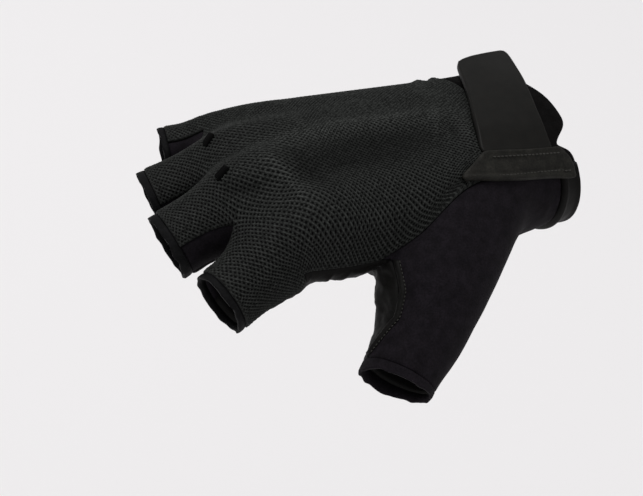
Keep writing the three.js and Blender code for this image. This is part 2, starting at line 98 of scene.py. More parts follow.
# The rings of the thumb: centre, half sizes, and the angle of the leather's seam.
ThumbRing = namedtuple("ThumbRing", "x y z width height seam")
THUMB_RINGS = (
    ThumbRing(-0.472, -1.047, -0.662, 1.38, 1.16, 18),
    ThumbRing(-0.553, -1.233, -0.891, 1.13, 1.0, 32),
    ThumbRing(-0.624, -1.395, -1.069, 0.96, 0.92, 27),
    ThumbRing(-0.711, -1.506, -1.237, 0.84, 0.88, 4),
    ThumbRing(-0.766, -1.576, -1.353, 0.81, 0.87, -10),
    ThumbRing(-0.791, -1.618, -1.409, 0.81, 0.87, -16),
)
RING_GROWTH = 1.07  # smoothing shrinks a ring of points by this much
FINGER_DEPTH = 1.03  # a finger's thickness for its width
BACK_SPREAD = 0.93  # the points across the hand take this share of its width
WRIST_MIDDLE = -0.09  # the middle of the wrist, as a share of the palm's half width
ACROSS = 13  # points from the index side to the little-finger side
HOLE_FROM = 3  # the thumb leaves the hand between these cross-sections
HOLE_TO = 6
HOLE_COLUMNS = 2

# The layers on the wrist: the angle of a row's two ends, and their x as a share of the layer's size.
LayerRow = namedtuple("LayerRow", "from_angle from_x to_angle to_x")
PATCH_ROWS = (
    LayerRow(160, -0.540, 172, 0.479),
    LayerRow(157, -0.580, 167, 0.489),
    LayerRow(153, -0.500, 161, 0.479),
    LayerRow(148, -0.394, 155, 0.436),
    LayerRow(144, -0.319, 150, 0.372),
)
STRAP_ROWS = (
    LayerRow(145, -0.517, 151.5, 0.5),
    LayerRow(135, -0.473, 142, 0.487),
    LayerRow(122, -0.417, 129, 0.493),
    LayerRow(104, -0.34, 110, 0.533),
    LayerRow(88, -0.26, 91, 0.587),
    LayerRow(72, -0.18, 73, 0.65),
    LayerRow(58, -0.113, 58, 0.7),
)

# The walls of the panels, outwards from the skin, in metres.
WALLS = {
    "back_panel": 1.6 * MM,
    "palm_panel": 1.5 * MM,
    "thumb_panel": 1.3 * MM,
    "gusset_index_middle": 1.0 * MM,
    "gusset_middle_ring": 1.0 * MM,
    "gusset_ring_little": 1.0 * MM,
    "loop_pad": 1.8 * MM,
    "wrist_binding": 2.2 * MM,
}
HEM_WALL = 1.15 * MM
SEWN_END = 0.9 * MM  # how far the patch lifts to cover the strap's sewn end
SEWN_WALL = SEWN_END * 0.85  # the strap there
STRAP_WALL = 1.9 * MM  # the strap past it
STITCH_PLACES = (3.45, 1.25)  # the rows of stitches on the patch, counted in its own rows
OFF_THUMB = (-0.49, -0.63, 0.6)  # roughly outwards from the thumb, at its seam

# The fine meshes. Their walls take one step on the inside for each block of steps on the outside.
BLOCK = 4
WELD = 0.002 * MM  # points nearer than this become one
EDGE_STEP = 0.5 * MM  # how far a line that misses the wrist's edge moves in, up to so many times
EDGE_STEPS = 13


def length(name, description, default):
    """A size that a user may change, in metres."""
    return FloatProperty(
        name=name, description=description, default=default, min=0.0,
        subtype="DISTANCE", unit="LENGTH", precision=4,
    )


def linear(code):
    """An sRGB hex colour as linear red, green and blue."""
    channels = [int(code[i:i + 2], 16) / 255 for i in (0, 2, 4)]
    return [c / 12.92 if c <= 0.04045 else ((c + 0.055) / 1.055) ** 2.4 for c in channels]


def colour(name, description, code):
    """A colour that a user may change, from its sRGB hex code."""
    return FloatVectorProperty(
        name=name, description=description, default=linear(code), size=3, min=0.0, max=1.0, subtype="COLOR",
    )


class GloveSizes(bpy.types.PropertyGroup):
    """The sizes of the glove."""

    palm_length: length("Palm length", "Wrist joint to the knuckle row", 80 * MM)
    palm_half_width: length("Palm half width", "Half of the hand's width at the knuckles", 43 * MM)
    hand_thickness: length("Hand thickness", "Back to palm at the knuckles", 32 * MM)
    web_depth: length("Web depth", "Knuckle to the web between two fingers", 19 * MM)
    finger_length: length("Finger length", "Middle knuckle to its hem", 45 * MM)
    finger_half_width: length("Finger half width", "Half of the middle finger's width", 10.6 * MM)
    thumb_half_width: length("Thumb half width", "Half of the thumb's width", 15 * MM)
    hem_width: length("Hem width", "Width of a turned hem", 1.2 * MM)
    hole_spacing: length("Hole spacing", "Spacing of the holes in the knitted mesh", 1.18 * MM)
    hole_depth: length("Hole depth", "Depth of the holes in the knitted mesh", 0.5 * MM)
    seam_softness: length("Seam softness", "How far a panel bends down beside its seam", 1.5 * MM)
    strap_width: length("Strap width", "Width of the wrist strap where it is sewn", 30 * MM)
    strap_tail: length("Strap tail", "Free end of the strap, past the wrist", 15 * MM)
    patch_length: length("Patch length", "Length of the leather patch", 47 * MM)
    patch_thickness: length("Patch thickness", "Thickness of the leather patch", 1.2 * MM)
    layer_gap: length("Layer gap", "Gap between two layers on the wrist", 0.5 * MM)
    stitch_length: length("Stitch length", "Length of one stitch", 1.2 * MM)
    seam_width: length("Seam width", "Width of the raised seam down the thumb", 2.4 * MM)
    seam_height: length("Seam height", "Height of the raised seam down the thumb", 1.0 * MM)
    tab_width: length("Tab width", "Width of a pull tab", 2.8 * MM)
    tab_thickness: length("Tab thickness", "Thickness of a pull tab", 1.6 * MM)
    thread: length("Thread", "Thickness of the sewing thread", 0.55 * MM)


class GloveColours(bpy.types.PropertyGroup):
    """The colours of the glove and of the stage."""

    mesh_thread: colour("Mesh thread", "Threads of the knitted mesh", "212221")
    # the holes: the dark inside of the glove seen through them, made darker as painted shade
    mesh_hole: colour("Mesh hole", "Bottom of the holes in the mesh", "030303")
    # painted shade: the leather is darkened for the shade on the palm, and the wrist binding and the thumb's
    # seam share it
    leather: colour("Leather", "Synthetic leather of the palm", "0B0A09")
    # the same leather as the palm, lighter: the lit copy
    patch: colour("Patch", "Leather that the strap is sewn to", "1E1D1A")
    stretch: colour("Stretch knit", "Thumb and gussets", "151216")
    loop: colour("Loop fabric", "Pad that the strap closes on", "0C0B0B")
    hem: colour("Hem", "Turned hems", "0E0E0F")
    strap: colour("Strap", "Moulded wrist strap", "100F0D")
    stitching: colour("Stitching", "Sewing thread", "343330")
    floor: colour("Floor", "Floor of the stage", "F5F3F4")


def sizes():
    """The sizes in use."""
    return bpy.context.scene.glove_sizes


def colours():
    """The colours in use."""
    return bpy.context.scene.glove_colours


# The hand's surface.

def power_sign(value, power):
    """A power that keeps the sign."""
    return math.copysign(abs(value) ** power, value)


def section_point(section, angle, valley):
    """A point of a cross-section: angle 0 is the little-finger side, a quarter turn the back."""
    size = sizes()
    u = power_sign(math.cos(angle), 2 / section.square)
    v = power_sign(math.sin(angle), 2 / section.square)
    height = (section.top if v > 0 else section.bottom) * size.hand_thickness
    drop = section.drop * (0.5 + 0.5 * u) ** 2 + section.lean * (0.5 - 0.5 * u) ** 2
    return np.array((
        (section.x + section.slant * 0.5 * u - section.tilt * v) * size.palm_length,
        (section.middle + section.half * u) * size.palm_half_width,
        height * v - drop * size.palm_half_width - valley * size.hand_thickness,
    ))


def section_row(section, shares):
    """The points of a cross-section. Every third point of the back is a valley between two fingers."""
    top = [math.acos(power_sign(u, section.square / 2)) for u in shares]
    low = [2 * math.pi - angle for angle in top]
    v = section.seam / (section.top if section.seam > 0 else section.bottom)
    seam = math.pi - math.asin(power_sign(v, section.square / 2))
    top[1] = min(top[1], (seam + 2 * top[2]) / 3)
    top[0] = (seam + 2 * top[1]) / 3
    low[1] = (seam + 2 * low[2]) / 3
    low[0] = (2 * seam + low[2]) / 3
    valleys = [section.valley if j % 3 == 0 and 0 < j < ACROSS - 1 else 0 for j in range(ACROSS)]
    return {
        "back": [section_point(section, angle, valley) for angle, valley in zip(top, valleys)],
        "palm": [section_point(section, angle, 0) for angle in low],
        "radial": section_point(section, seam, 0),
        "ulnar": section_point(section, 0, 0),
    }


def in_hand(row):
    """A place of one of the tables in the hand."""
    size = sizes()
    return np.array((row.x * size.palm_length, row.y * size.palm_half_width, row.z * size.hand_thickness))


def unit(vector):
    """A vector of length one."""
    return vector / np.linalg.norm(vector)


def between(start, end, share):
    """What lies a share of the way from start to end."""
    return start + (end - start) * share


def finger_axes(finger):
    """The directions along, across and out of the back of a finger."""
    bend = math.radians(finger.bend)
    spread = math.radians(finger.spread)
    forward = np.array((
        -math.cos(bend) * math.cos(spread), math.sin(spread), -math.sin(bend) * math.cos(spread),
    ))
    side = unit(np.array((0.0, 1.0, 0.0)) - forward * forward[1])
    return forward, side, np.cross(side, forward)


def finger_ring(finger, along, half_width, half_height):
    """A ring round a finger, at a distance along it from the knuckle."""
    forward, side, up = finger_axes(finger)
    centre = in_hand(finger) + forward * along
    return [
        centre + side * (s * half_width * RING_GROWTH) + up * (h * half_height * RING_GROWTH)
        for s, h in FINGER_RING
    ]


def joined_row(along, level, flatness):
    """A row past the knuckles, where the four fingers still share their edges.

    level says how far the skin between two fingers is filled up, and flatness how thick they are.
    """
    size = sizes()
    rings = [
        finger_ring(f, along, f.width * size.finger_half_width, flatness * f.width * size.hand_thickness / 2)
        for f in FINGERS
    ]
    back = [rings[0][0]]
    palm = [rings[0][8]]
    webs = []
    for ring, following in zip(rings, rings[1:] + [None]):
        back += [ring[1], ring[2]]
        palm += [ring[7], ring[6]]
        if following is None:
            back.append(ring[3])
            palm.append(ring[5])
            continue
        top = (ring[3] + following[0]) / 2
        low = (ring[5] + following[8]) / 2
        webs.append((top + low) / 2)
        back.append(top + level * ((ring[2] + following[1]) / 2 - top))
        palm.append(low + level * ((ring[6] + following[7]) / 2 - low))
    return {"back": back, "palm": palm, "webs": webs, "radial": rings[0][9], "ulnar": rings[3][4]}


def thumb_axes(index):
    """The directions across the thumb at one of its rings: to the finger tips, and to the back."""
    start = in_hand(THUMB_RINGS[max(index - 1, 0)])
    end = in_hand(THUMB_RINGS[min(index + 1, len(THUMB_RINGS) - 1)])
    forward = unit(end - start)
    distal = unit(np.array((-1.0, 0.0, 0.0)) + forward * forward[0])
    return distal, np.cross(distal, forward)


def thumb_ring(index, count):
    """The points of one ring of the thumb, from the seam of the leather."""
    ring = THUMB_RINGS[index]
    size = sizes().thumb_half_width * RING_GROWTH
    distal, dorsal = thumb_axes(index)
    angles = [math.radians(ring.seam + 360 / count * k) for k in range(count)]
    across = distal * ring.width * size
    out = dorsal * ring.height * size
    return [in_hand(ring) + across * math.cos(a) + out * math.sin(a) for a in angles]


class Cage:
    """Points, and quads that each carry the name of a panel."""

    def __init__(self):
        self.points = []
        self.quads = []
        self.panels = []

    def add(self, point):
        """Adds one point and gives its number."""
        self.points.append(point)
        return len(self.points) - 1

    def add_row(self, row):
        """Adds the points of a cross-section and gives their numbers."""
        return {
            key: [self.add(p) for p in value] if isinstance(value, list) else self.add(value)
            for key, value in row.items()
        }

    def quad(self, a, b, c, d, panel):
        """Adds one quad."""
        self.quads.append((a, b, c, d))
        self.panels.append(panel)


def hand_rows(cage):
    """Adds the rows of the hand, from the wrist opening to the webs."""
    size = sizes()
    total = sum(f.width for f in FINGERS)
    shares = []
    run = 0
    for f in FINGERS:
        shares += [(run + f.width * third / 3) / total for third in range(3)]
        run += f.width
    shares.append(1)
    spread = [(2 * u - 1) * BACK_SPREAD for u in shares]
    outlines = [section_row(section, spread) for section in SECTIONS]
    for point, share in zip(outlines[0]["back"], OPENING_EDGE):
        point[0] += share * size.palm_length
    rows = [cage.add_row(outline) for outline in outlines]
    near_web = joined_row(size.web_depth * 0.5, level=0.7, flatness=0.92)
    near_web.pop("webs")
    rows.append(cage.add_row(near_web))
    rows.append(cage.add_row(joined_row(size.web_depth, level=0.15, flatness=0.84)))
    return rows


def cage_hand(cage, rows):
    """The quads of the hand itself."""
    for r, (a, b) in enumerate(zip(rows, rows[1:])):
        hole = HOLE_FROM <= r < HOLE_TO
        at_wrist = r < HOLE_FROM
        on_back = "loop_pad" if at_wrist else "back_panel"
        on_palm = "wrist_binding" if r == 0 else "palm_panel"
        bunched = HOLE_TO <= r < HOLE_TO + 3
        under_seam = "thumb_panel" if at_wrist else "palm_panel" if bunched else "back_panel"
        if r == 0:
            under_seam = "wrist_binding"
        for j in range(ACROSS - 1):
            cage.quad(a["back"][j], a["back"][j + 1], b["back"][j + 1], b["back"][j], on_back)
            if not hole or j >= HOLE_COLUMNS:
                panel = under_seam if at_wrist and j < HOLE_COLUMNS else on_palm
                cage.quad(a["palm"][j + 1], a["palm"][j], b["palm"][j], b["palm"][j + 1], panel)
        cage.quad(a["radial"], a["back"][0], b["back"][0], b["radial"], on_back)
        cage.quad(a["back"][-1], a["ulnar"], b["ulnar"], b["back"][-1], on_back)
        cage.quad(a["ulnar"], a["palm"][-1], b["palm"][-1], b["ulnar"], on_back)
        if not hole:
            cage.quad(a["palm"][0], a["radial"], b["radial"], b["palm"][0], under_seam)


def cage_fingers(cage, last):
    """The quads of the four fingers, from the web to the hem."""
    size = sizes()
    names = [f.name for f in FINGERS]
    for i, f in enumerate(FINGERS):
        outer = f"gusset_{f.name}_{names[i + 1]}" if i < 3 else "back_panel"
        inner = f"gusset_{names[i - 1]}_{f.name}" if i > 0 else "back_panel"
        panels = ["back_panel"] * 3 + [outer] * 2 + ["palm_panel"] * 3 + [inner] * 2
        if f.name == "little":
            panels[0] = inner  # its gusset reaches round to the back
        half = f.width * size.finger_half_width
        whole = f.length * size.finger_length
        reach = whole - size.web_depth
        # the place of each ring, its share of the finger's width, and the panels before it
        stations = (
            (size.web_depth + reach * 0.45, 0.93, panels),
            (whole - size.hem_width, 1.0, panels),
            (whole, 1.0, [f"hem_{f.name}"] * 10),
        )
        near = last["back"][3 * i:3 * i + 4]
        near.append(last["webs"][i] if i < 3 else last["ulnar"])
        near += last["palm"][3 * i:3 * i + 4][::-1]
        near.append(last["webs"][i - 1] if i > 0 else last["radial"])
        for along, grow, names_round in stations:
            far = [cage.add(p) for p in finger_ring(f, along, half * grow, half * grow * FINGER_DEPTH)]
            for k, panel in enumerate(names_round):
                n = (k + 1) % 10
                cage.quad(near[k], near[n], far[n], far[k], panel)
            near = far


def cage_thumb(cage, rows):
    """The quads of the thumb, from the edge of its hole to the hem."""
    r3, r4, r5, r6 = rows[HOLE_FROM:HOLE_TO + 1]
    near = [
        r6["radial"], r5["radial"], r4["radial"], r3["radial"],
        r3["palm"][0], r3["palm"][1], r3["palm"][2],
        r4["palm"][2], r5["palm"][2], r6["palm"][2],
        r6["palm"][1], r6["palm"][0],
    ]
    count = len(near)
    for i in range(len(THUMB_RINGS)):
        far = [cage.add(p) for p in thumb_ring(i, count)]
        end = i == len(THUMB_RINGS) - 1
        for k in range(count):
            n = (k + 1) % count
            panel = "thumb_panel" if k < count // 2 else "palm_panel"
            cage.quad(near[k], far[k], far[n], near[n], "hem_thumb" if end else panel)
        near = far


# Smooth surfaces.

def sums(count, index, values):
    """What the values add up to at each of so many points."""
    total = np.zeros((count, 3))
    np.add.at(total, index, values)
    return total


class Surface:
    """A cage smoothed a few times. Each quad of the cage keeps a grid of point numbers."""

    def __init__(self, cage, steps):
        self.points = np.array(cage.points)
        self.panels = np.array(cage.panels)
        corners = np.array(cage.quads)
        self.corners = corners
        self.grids = np.stack([corners[:, [0, 3]], corners[:, [1, 2]]], axis=1)
        for _ in range(steps):
            self.smooth()
        self.normals = self.find_normals()

    def cells(self):
        """The four corners of every small quad, in the grids' order."""
        g = self.grids
        return np.stack([g[:, :-1, :-1], g[:, 1:, :-1], g[:, 1:, 1:], g[:, :-1, 1:]], axis=-1)

    def smooth(self):
        """One step of smoothing, in which each small quad becomes four."""
        points = self.points
        count = len(points)
        grids = self.grids
        cells = self.cells()
        middles = points[cells].mean(axis=-2)
        around = np.repeat(middles.reshape(-1, 3), 4, axis=0)
        pairs = np.stack([cells, np.roll(cells, -1, axis=-1)], axis=-1).reshape(-1, 2)
        keys = np.sort(pairs, axis=1)
        unique, inverse = np.unique(keys[:, 0] * count + keys[:, 1], return_inverse=True)
        ends = np.stack([unique // count, unique % count], axis=1)
        edge_middle = points[ends].mean(axis=1)
        beside = sums(len(unique), inverse, around)
        inside = np.bincount(inverse, minlength=len(unique)) == 2
        edge_points = np.where(inside[:, None], edge_middle / 2 + beside / 4, edge_middle)
        # The old points move by the middles of their quads and edges, or along the rim.
        corners = cells.reshape(-1)
        quads_at = np.maximum(np.bincount(corners, minlength=count), 1)[:, None]
        mean_quad = sums(count, corners, around) / quads_at
        both = ends.T.reshape(-1)
        edges_at = np.bincount(both, minlength=count)
        edge_sum = sums(count, both, np.concatenate([edge_middle, edge_middle]))
        rim = ends[~inside]
        rim_at = np.bincount(rim.reshape(-1), minlength=count)
        rim_sum = sums(count, rim.T.reshape(-1), points[rim[:, ::-1].T.reshape(-1)])
        valence = np.maximum(edges_at, 1)[:, None]
        moved = (mean_quad + 2 * edge_sum / valence + (valence - 3) * points) / valence
        moved = np.where((rim_at == 2)[:, None], points * 0.75 + rim_sum * 0.125, moved)
        moved = np.where((edges_at > 0)[:, None], moved, points)
        # The new grids take the old points, the edges' points and the quads' middles.
        n = grids.shape[1] - 1
        finer = np.zeros((len(grids), 2 * n + 1, 2 * n + 1), dtype=int)
        finer[:, ::2, ::2] = grids
        edge_of = inverse.reshape(len(grids), n, n, 4) + count
        finer[:, 1::2, 0:-1:2] = edge_of[..., 0]
        finer[:, 2::2, 1::2] = edge_of[..., 1]
        finer[:, 1::2, 2::2] = edge_of[..., 2]
        finer[:, 0:-1:2, 1::2] = edge_of[..., 3]
        middle_of = np.arange(middles.size // 3).reshape(len(grids), n, n)
        finer[:, 1::2, 1::2] = middle_of + count + len(unique)
        self.points = np.concatenate([moved, edge_points, middles.reshape(-1, 3)])
        self.grids = finer

    def find_normals(self):
        """The outward direction at each point."""
        cells = self.cells().reshape(-1, 4)
        a, b, c, d = (self.points[cells[:, k]] for k in range(4))
        normal = np.cross(c - a, d - b)
        total = sums(len(self.points), cells.T.reshape(-1), np.concatenate([normal] * 4))
        return total / np.maximum(np.linalg.norm(total, axis=1), 1e-12)[:, None]

    def counts(self, spacing):
        """How many steps of about one spacing each quad of the cage takes, in whole blocks.

        Quads that share a side agree.
        """
        edges = {}
        parent = []

        def root(i):
            while parent[i] != i:
                parent[i] = parent[parent[i]]
                i = parent[i]
            return i

        def edge(a, b):
            key = (min(a, b), max(a, b))
            if key not in edges:
                edges[key] = len(parent)
                parent.append(len(parent))
            return edges[key]

        sides = [[edge(q[k], q[(k + 1) % 4]) for k in range(4)] for q in self.corners.tolist()]
        for s0, s1, s2, s3 in sides:
            parent[root(s0)] = root(s2)
            parent[root(s1)] = root(s3)
        lengths = {}
        for grid, (s0, s1, _, s3) in zip(self.grids, sides):
            for line, side in ((grid[:, 0], s0), (grid[:, -1], s0), (grid[0], s1), (grid[-1], s3)):
                run = np.linalg.norm(np.diff(self.points[line], axis=0), axis=1).sum()
                lengths.setdefault(root(side), []).append(run)
        steps = {
            key: max(1, round(float(np.mean(runs)) / spacing / BLOCK)) * BLOCK
            for key, runs in lengths.items()
        }
        return [(steps[root(s0)], steps[root(s1)]) for s0, s1, _, _ in sides]


def sample(grid, steps_s, steps_t):
    """A grid of values read at evenly spaced places."""
    for axis, steps in ((0, steps_s), (1, steps_t)):
        place = np.linspace(0, grid.shape[axis] - 1, steps + 1)
        low = np.minimum(place.astype(int), grid.shape[axis] - 2)
        share = (place - low).reshape([-1 if k == axis else 1 for k in range(3)])
        grid = np.take(grid, low, axis) * (1 - share) + np.take(grid, low + 1, axis) * share
    return grid


class Patch:
    """A stretch of a surface as a fine mesh: points, normals, quads and the place of each in its grid."""

    def __init__(self, surface, chosen, spacing):
        steps = surface.counts(spacing)
        places = []
        normals = []
        index = []
        start = 0
        cell_uv = []
        step_index = []
        for q in chosen:
            nu, nv = steps[q]
            grid = surface.grids[q]
            places.append(sample(surface.points[grid], nu, nv).reshape(-1, 3))
            normals.append(sample(surface.normals[grid], nu, nv).reshape(-1, 3))
            index.append(np.arange((nu + 1) * (nv + 1)).reshape(nu + 1, nv + 1) + start)
            start += (nu + 1) * (nv + 1)
            i, j = np.meshgrid(np.arange(nu + 1), np.arange(nv + 1), indexing="ij")
            step_index.append(np.stack([i, j], axis=-1).reshape(-1, 2))
        places = np.concatenate(places)
        _, first, inverse = np.unique(
            np.round(places / WELD).astype(np.int64), axis=0, return_index=True, return_inverse=True,
        )
        inverse = inverse.reshape(-1)
        self.points = places[first]
        self.normals = np.concatenate(normals)[first]
        self.normals /= np.linalg.norm(self.normals, axis=1)[:, None]
        self.step = np.concatenate(step_index)[first]
        self.grids = [inverse[grid] for grid in index]
        quads = []
        for grid in self.grids:
            cells = np.stack([grid[:-1, :-1], grid[1:, :-1], grid[1:, 1:], grid[:-1, 1:]], axis=-1)
            quads.append(cells.reshape(-1, 4))
            i, j = np.meshgrid(np.arange(grid.shape[0] - 1), np.arange(grid.shape[1] - 1), indexing="ij")
            corner = np.stack([i, j], axis=-1).reshape(-1, 1, 2)
            cell_uv.append((corner + np.array([[0, 0], [1, 0], [1, 1], [0, 1]])).reshape(-1, 2))
        self.quads = np.concatenate(quads)
        self.cell_uv = np.concatenate(cell_uv)
        self.find_rim()

    def find_rim(self):
        """The edges that only one quad uses, and how far each point is from them."""
        count = len(self.points)
        starts = self.quads.reshape(-1)
        ends = np.roll(self.quads, -1, axis=1).reshape(-1)
        forward = starts * count + ends
        backward = ends * count + starts
        open_edge = ~np.isin(forward, backward)
        self.open_keys = np.sort(forward[open_edge])
        rim = np.unique(np.concatenate([starts[open_edge], ends[open_edge]]))
        tree = KDTree(len(rim))
        for i in rim:
            tree.insert(self.points[i], int(i))
        tree.balance()
        self.rim_distance = np.array([tree.find(p)[2] for p in self.points])

    def is_open(self, a, b):
        """Whether the edge from a to b belongs to one quad only."""
        key = a * len(self.points) + b
        place = np.searchsorted(self.open_keys, key)
        return place < len(self.open_keys) and self.open_keys[place] == key

    def shell(self, low, high):
        """A closed wall from one set of heights to another. The low side takes one step for each block."""
        outer = self.points + self.normals * high[:, None]
        inner_all = self.points + self.normals * low[:, None]
        coarse = [grid[::BLOCK, ::BLOCK] for grid in self.grids]
        used = np.unique(np.concatenate([grid.reshape(-1) for grid in coarse]))
        place = np.full(len(self.points), -1)
        place[used] = np.arange(len(used)) + len(outer)
        faces = [tuple(q) for q in self.quads.tolist()]
        weave = [tuple(uv) for uv in self.cell_uv.tolist()]
        for grid in coarse:
            cells = np.stack([grid[:-1, 1:], grid[1:, 1:], grid[1:, :-1], grid[:-1, :-1]], axis=-1)
            for cell in place[cells].reshape(-1, 4).tolist():
                faces.append(tuple(cell))
        for grid in self.grids:
            for line in (grid[:, 0], grid[-1, :], grid[::-1, -1], grid[0, ::-1]):
                if not self.is_open(line[0], line[1]):
                    continue
                for k in range(0, len(line) - 1, BLOCK):
                    fine = line[k:k + BLOCK + 1].tolist()
                    a = int(place[fine[0]])
                    b = int(place[fine[-1]])
                    half = BLOCK // 2
                    for m in range(BLOCK):
                        faces.append((fine[m + 1], fine[m], a if m < half else b))
                    faces.append((fine[half], a, b))
        points = np.concatenate([outer, inner_all[used]])
        return points, faces, weave

    def wall(self, name, low, high):
        """The same wall as a mesh object."""
        points, faces, weave = self.shell(low, high)
        return new_mesh(name, points, faces, weave)


def new_mesh(name, points, faces, weave=None):
    """A mesh object in the scene. weave holds the pattern's place at the corners of the first faces."""
    mesh = bpy.data.meshes.new(name)
    mesh.from_pydata([tuple(p) for p in np.asarray(points).tolist()], [], faces)
    if weave is not None:
        layer = mesh.uv_layers.new(name="weave")
        flat = np.zeros((len(mesh.loops), 2))
        flat[:len(weave)] = weave
        layer.data.foreach_set("uv", flat.reshape(-1))
    mesh.validate()
    mesh.update()
    mesh.polygons.foreach_set("use_smooth", [True] * len(mesh.polygons))
    made = bpy.data.objects.new(name, mesh)
    bpy.context.scene.collection.objects.link(made)
    return made


def point_values(made, name, values):
    """Stores one number at each point of a mesh, with 0 at the points past the list."""
    layer = made.data.attributes.new(name, "FLOAT", "POINT")
    flat = np.zeros(len(made.data.vertices))
    flat[:len(values)] = values
    layer.data.foreach_set("value", flat)


def finish_piece(made, material, node):
    """Gives a piece its material, lets it ride on the glove and stand for its solid."""
    made.data.materials.append(material)
    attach(made, BODY)
    if node:
        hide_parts(node)


@functools.lru_cache(maxsize=None)
def hand_surface():
    """The smooth surface of the hand that the panels lie on."""
    cage = Cage()
    rows = hand_rows(cage)
    cage_hand(cage, rows)
    cage_fingers(cage, rows[-1])
    cage_thumb(cage, rows)
    return Surface(cage, 3)


@functools.lru_cache(maxsize=None)
def outer_tree():
    """The outside of the panels, for laying things on it."""
    surface = hand_surface()
    points = []
    faces = []
    for q, panel in enumerate(surface.panels):
        if panel.startswith("hem"):
            continue
        grid = surface.grids[q]
        lifted = surface.points[grid] + surface.normals[grid] * WALLS[panel]
        n = grid.shape[0]
        start = len(points)
        points += [Vector(p) for p in lifted.reshape(-1, 3)]
        for i in range(n - 1):
            for j in range(n - 1):
                a = start + i * n + j
                faces.append((a, a + n, a + n + 1, a + 1))
    return BVHTree.FromPolygons(points, faces)


def outside(origin, direction):
    """Where a straight line from inside the glove leaves its outside."""
    hit = outer_tree().ray_cast(Vector(origin), Vector(direction))[0]
    return None if hit is None else np.array(hit)


def round_wrist(angle):
    """The direction out of the wrist at an angle round its axis."""
    return np.array((0.0, math.cos(math.radians(angle)), math.sin(math.radians(angle))))


def on_wrist(x, angle):
    """A point on the outside of the wrist: x along it, and the angle round its axis."""
    middle = WRIST_MIDDLE * sizes().palm_half_width
    for step in range(EDGE_STEPS):
        hit = outside((x - step * EDGE_STEP, middle, 0.0), round_wrist(angle))
        if hit is not None:
            hit[0] = x
            return hit
    raise RuntimeError(f"nothing of the wrist at x {x}, angle {angle}")


def in_layer(row, along):
    """The place of a share of a layer's row: x, as a share of the layer's size, and the angle."""
    return between(row.from_x, row.to_x, along), between(row.from_angle, row.to_angle, along)


def wrist_layer(rows, size, steps):
    """The grid of a layer that lies on the wrist."""
    grid = []
    for row in rows:
        places = [in_layer(row, j / steps) for j in range(steps + 1)]
        grid.append([on_wrist(x * size, angle) for x, angle in places])
    return grid


def grid_patch(grid, smoothed, spacing):
    """A grid of points, smoothed so many times, as a fine mesh."""
    cage = Cage()
    width = len(grid[0])
    for row in grid:
        for point in row:
            cage.add(point)
    for i in range(len(grid) - 1):
        for j in range(width - 1):
            a = i * width + j
            cage.quad(a, a + 1, a + width + 1, a + width, "layer")
    return Patch(Surface(cage, smoothed), range(len(cage.quads)), spacing)


# Shapes of the panels.

def distance_to(points, line):
    """How far each point is from a line of points."""
    tree = KDTree(len(line) * 8)
    for k in range(len(line) - 1):
        for m in range(8):
            tree.insert(line[k] + (line[k + 1] - line[k]) * (m / 8), k * 8 + m)
    tree.balance()
    return np.array([tree.find(p)[2] for p in points])


def ease(share):
    """A share that starts and ends gently."""
    share = np.clip(share, 0, 1)
    return share * share * (3 - 2 * share)


def soft_edge(distance, wall, low_share=0.4, reach=None):
    """The height of a wall that bends down to its seam in a quarter round."""
    reach = reach or sizes().seam_softness
    share = 1 - np.minimum(distance / reach, 1)
    return wall * (low_share + (1 - low_share) * np.sqrt(np.maximum(1 - share ** 2, 0)))


def bell(distance, middle, width):
    """A smooth bump at a distance: 1 in its middle, and next to nothing two widths off. In millimetres."""
    return np.exp(-((distance - middle * MM) / (width * MM)) ** 2)


def field(points, scale, seed):
    """Smooth noise between -1 and 1 at each point. scale is the size of its lumps."""
    shift = Vector((seed * 7.31, seed * 3.17, seed * 5.71))
    return np.array([noise.noise(Vector(p) / scale + shift) for p in points])


# The creases of the glove: from one point to another in millimetres, how wide and how high.
Crease = namedtuple("Crease", "start end width height")
CREASES = (
    # the ridge along the middle of the back, the hollow under it, and its branch to the index knuckle
    Crease((-98, 4, 12), (-18, -4, 18), 4.5, 1.9),
    Crease((-84, -13, 14), (-24, -12, 18), 8.0, -2.0),
    Crease((-93, -2, 13), (-86, -29, 9), 3.6, 1.6),
    Crease((-84, -3, 15), (-78, -26, 12), 4.0, -1.0),
    # the folds beside the strap
    Crease((0, 36, 6), (-17, -20, 17), 2.2, 1.6),
    Crease((-6, 34, 6), (-27, -14, 18), 2.0, 1.4),
    Crease((-3, 35, 6), (-22, -17, 17.5), 1.2, -1.2),
    # the hollows between the knuckles
    Crease((-112, -8, 5), (-98, -14, 8), 3.0, -1.4),
    Crease((-106, 9, 7), (-95, 6, 11), 3.0, -1.2),
    # the leather that bunches between the index finger and the thumb
    Crease((-93, -41, -15), (-88, -41, -15.5), 3.0, 2.2),
    Crease((-82, -41, -16), (-80, -41, -16.5), 2.4, 2.4),
    Crease((-75, -41, -17), (-72, -41, -17.5), 2.4, 2.6),
    Crease((-67, -38, -20), (-65, -49, -27), 6.0, 3.8),
    Crease((-66, -50, -29), (-61.5, -53, -23), 2.2, -2.6),
    # the fold in the thumb panel beside the wrist opening
    Crease((14.5, -36, 3), (16.5, -37, -12), 1.2, -1.1),
    Crease((11.5, -36, 2), (13, -37, -12), 1.4, 0.5),
)


def creases(points):
    """How far the creases lift or sink each point."""
    total = np.zeros(len(points))
    for crease in CREASES:
        a = np.array(crease.start) * MM
        b = np.array(crease.end) * MM
        along = b - a
        share = np.clip((points - a) @ along / (along @ along), 0, 1)
        gap = np.linalg.norm(points - a - share[:, None] * along, axis=1)
        fade = np.sin(np.pi * np.clip(share, 0.02, 0.98)) ** 0.5
        total += crease.height * MM * fade * bell(gap, 0, crease.width)
    return total


def panel_patch(name, spacing):
    """The fine mesh of one panel."""
    surface = hand_surface()
    return Patch(surface, np.nonzero(surface.panels == name)[0], spacing)


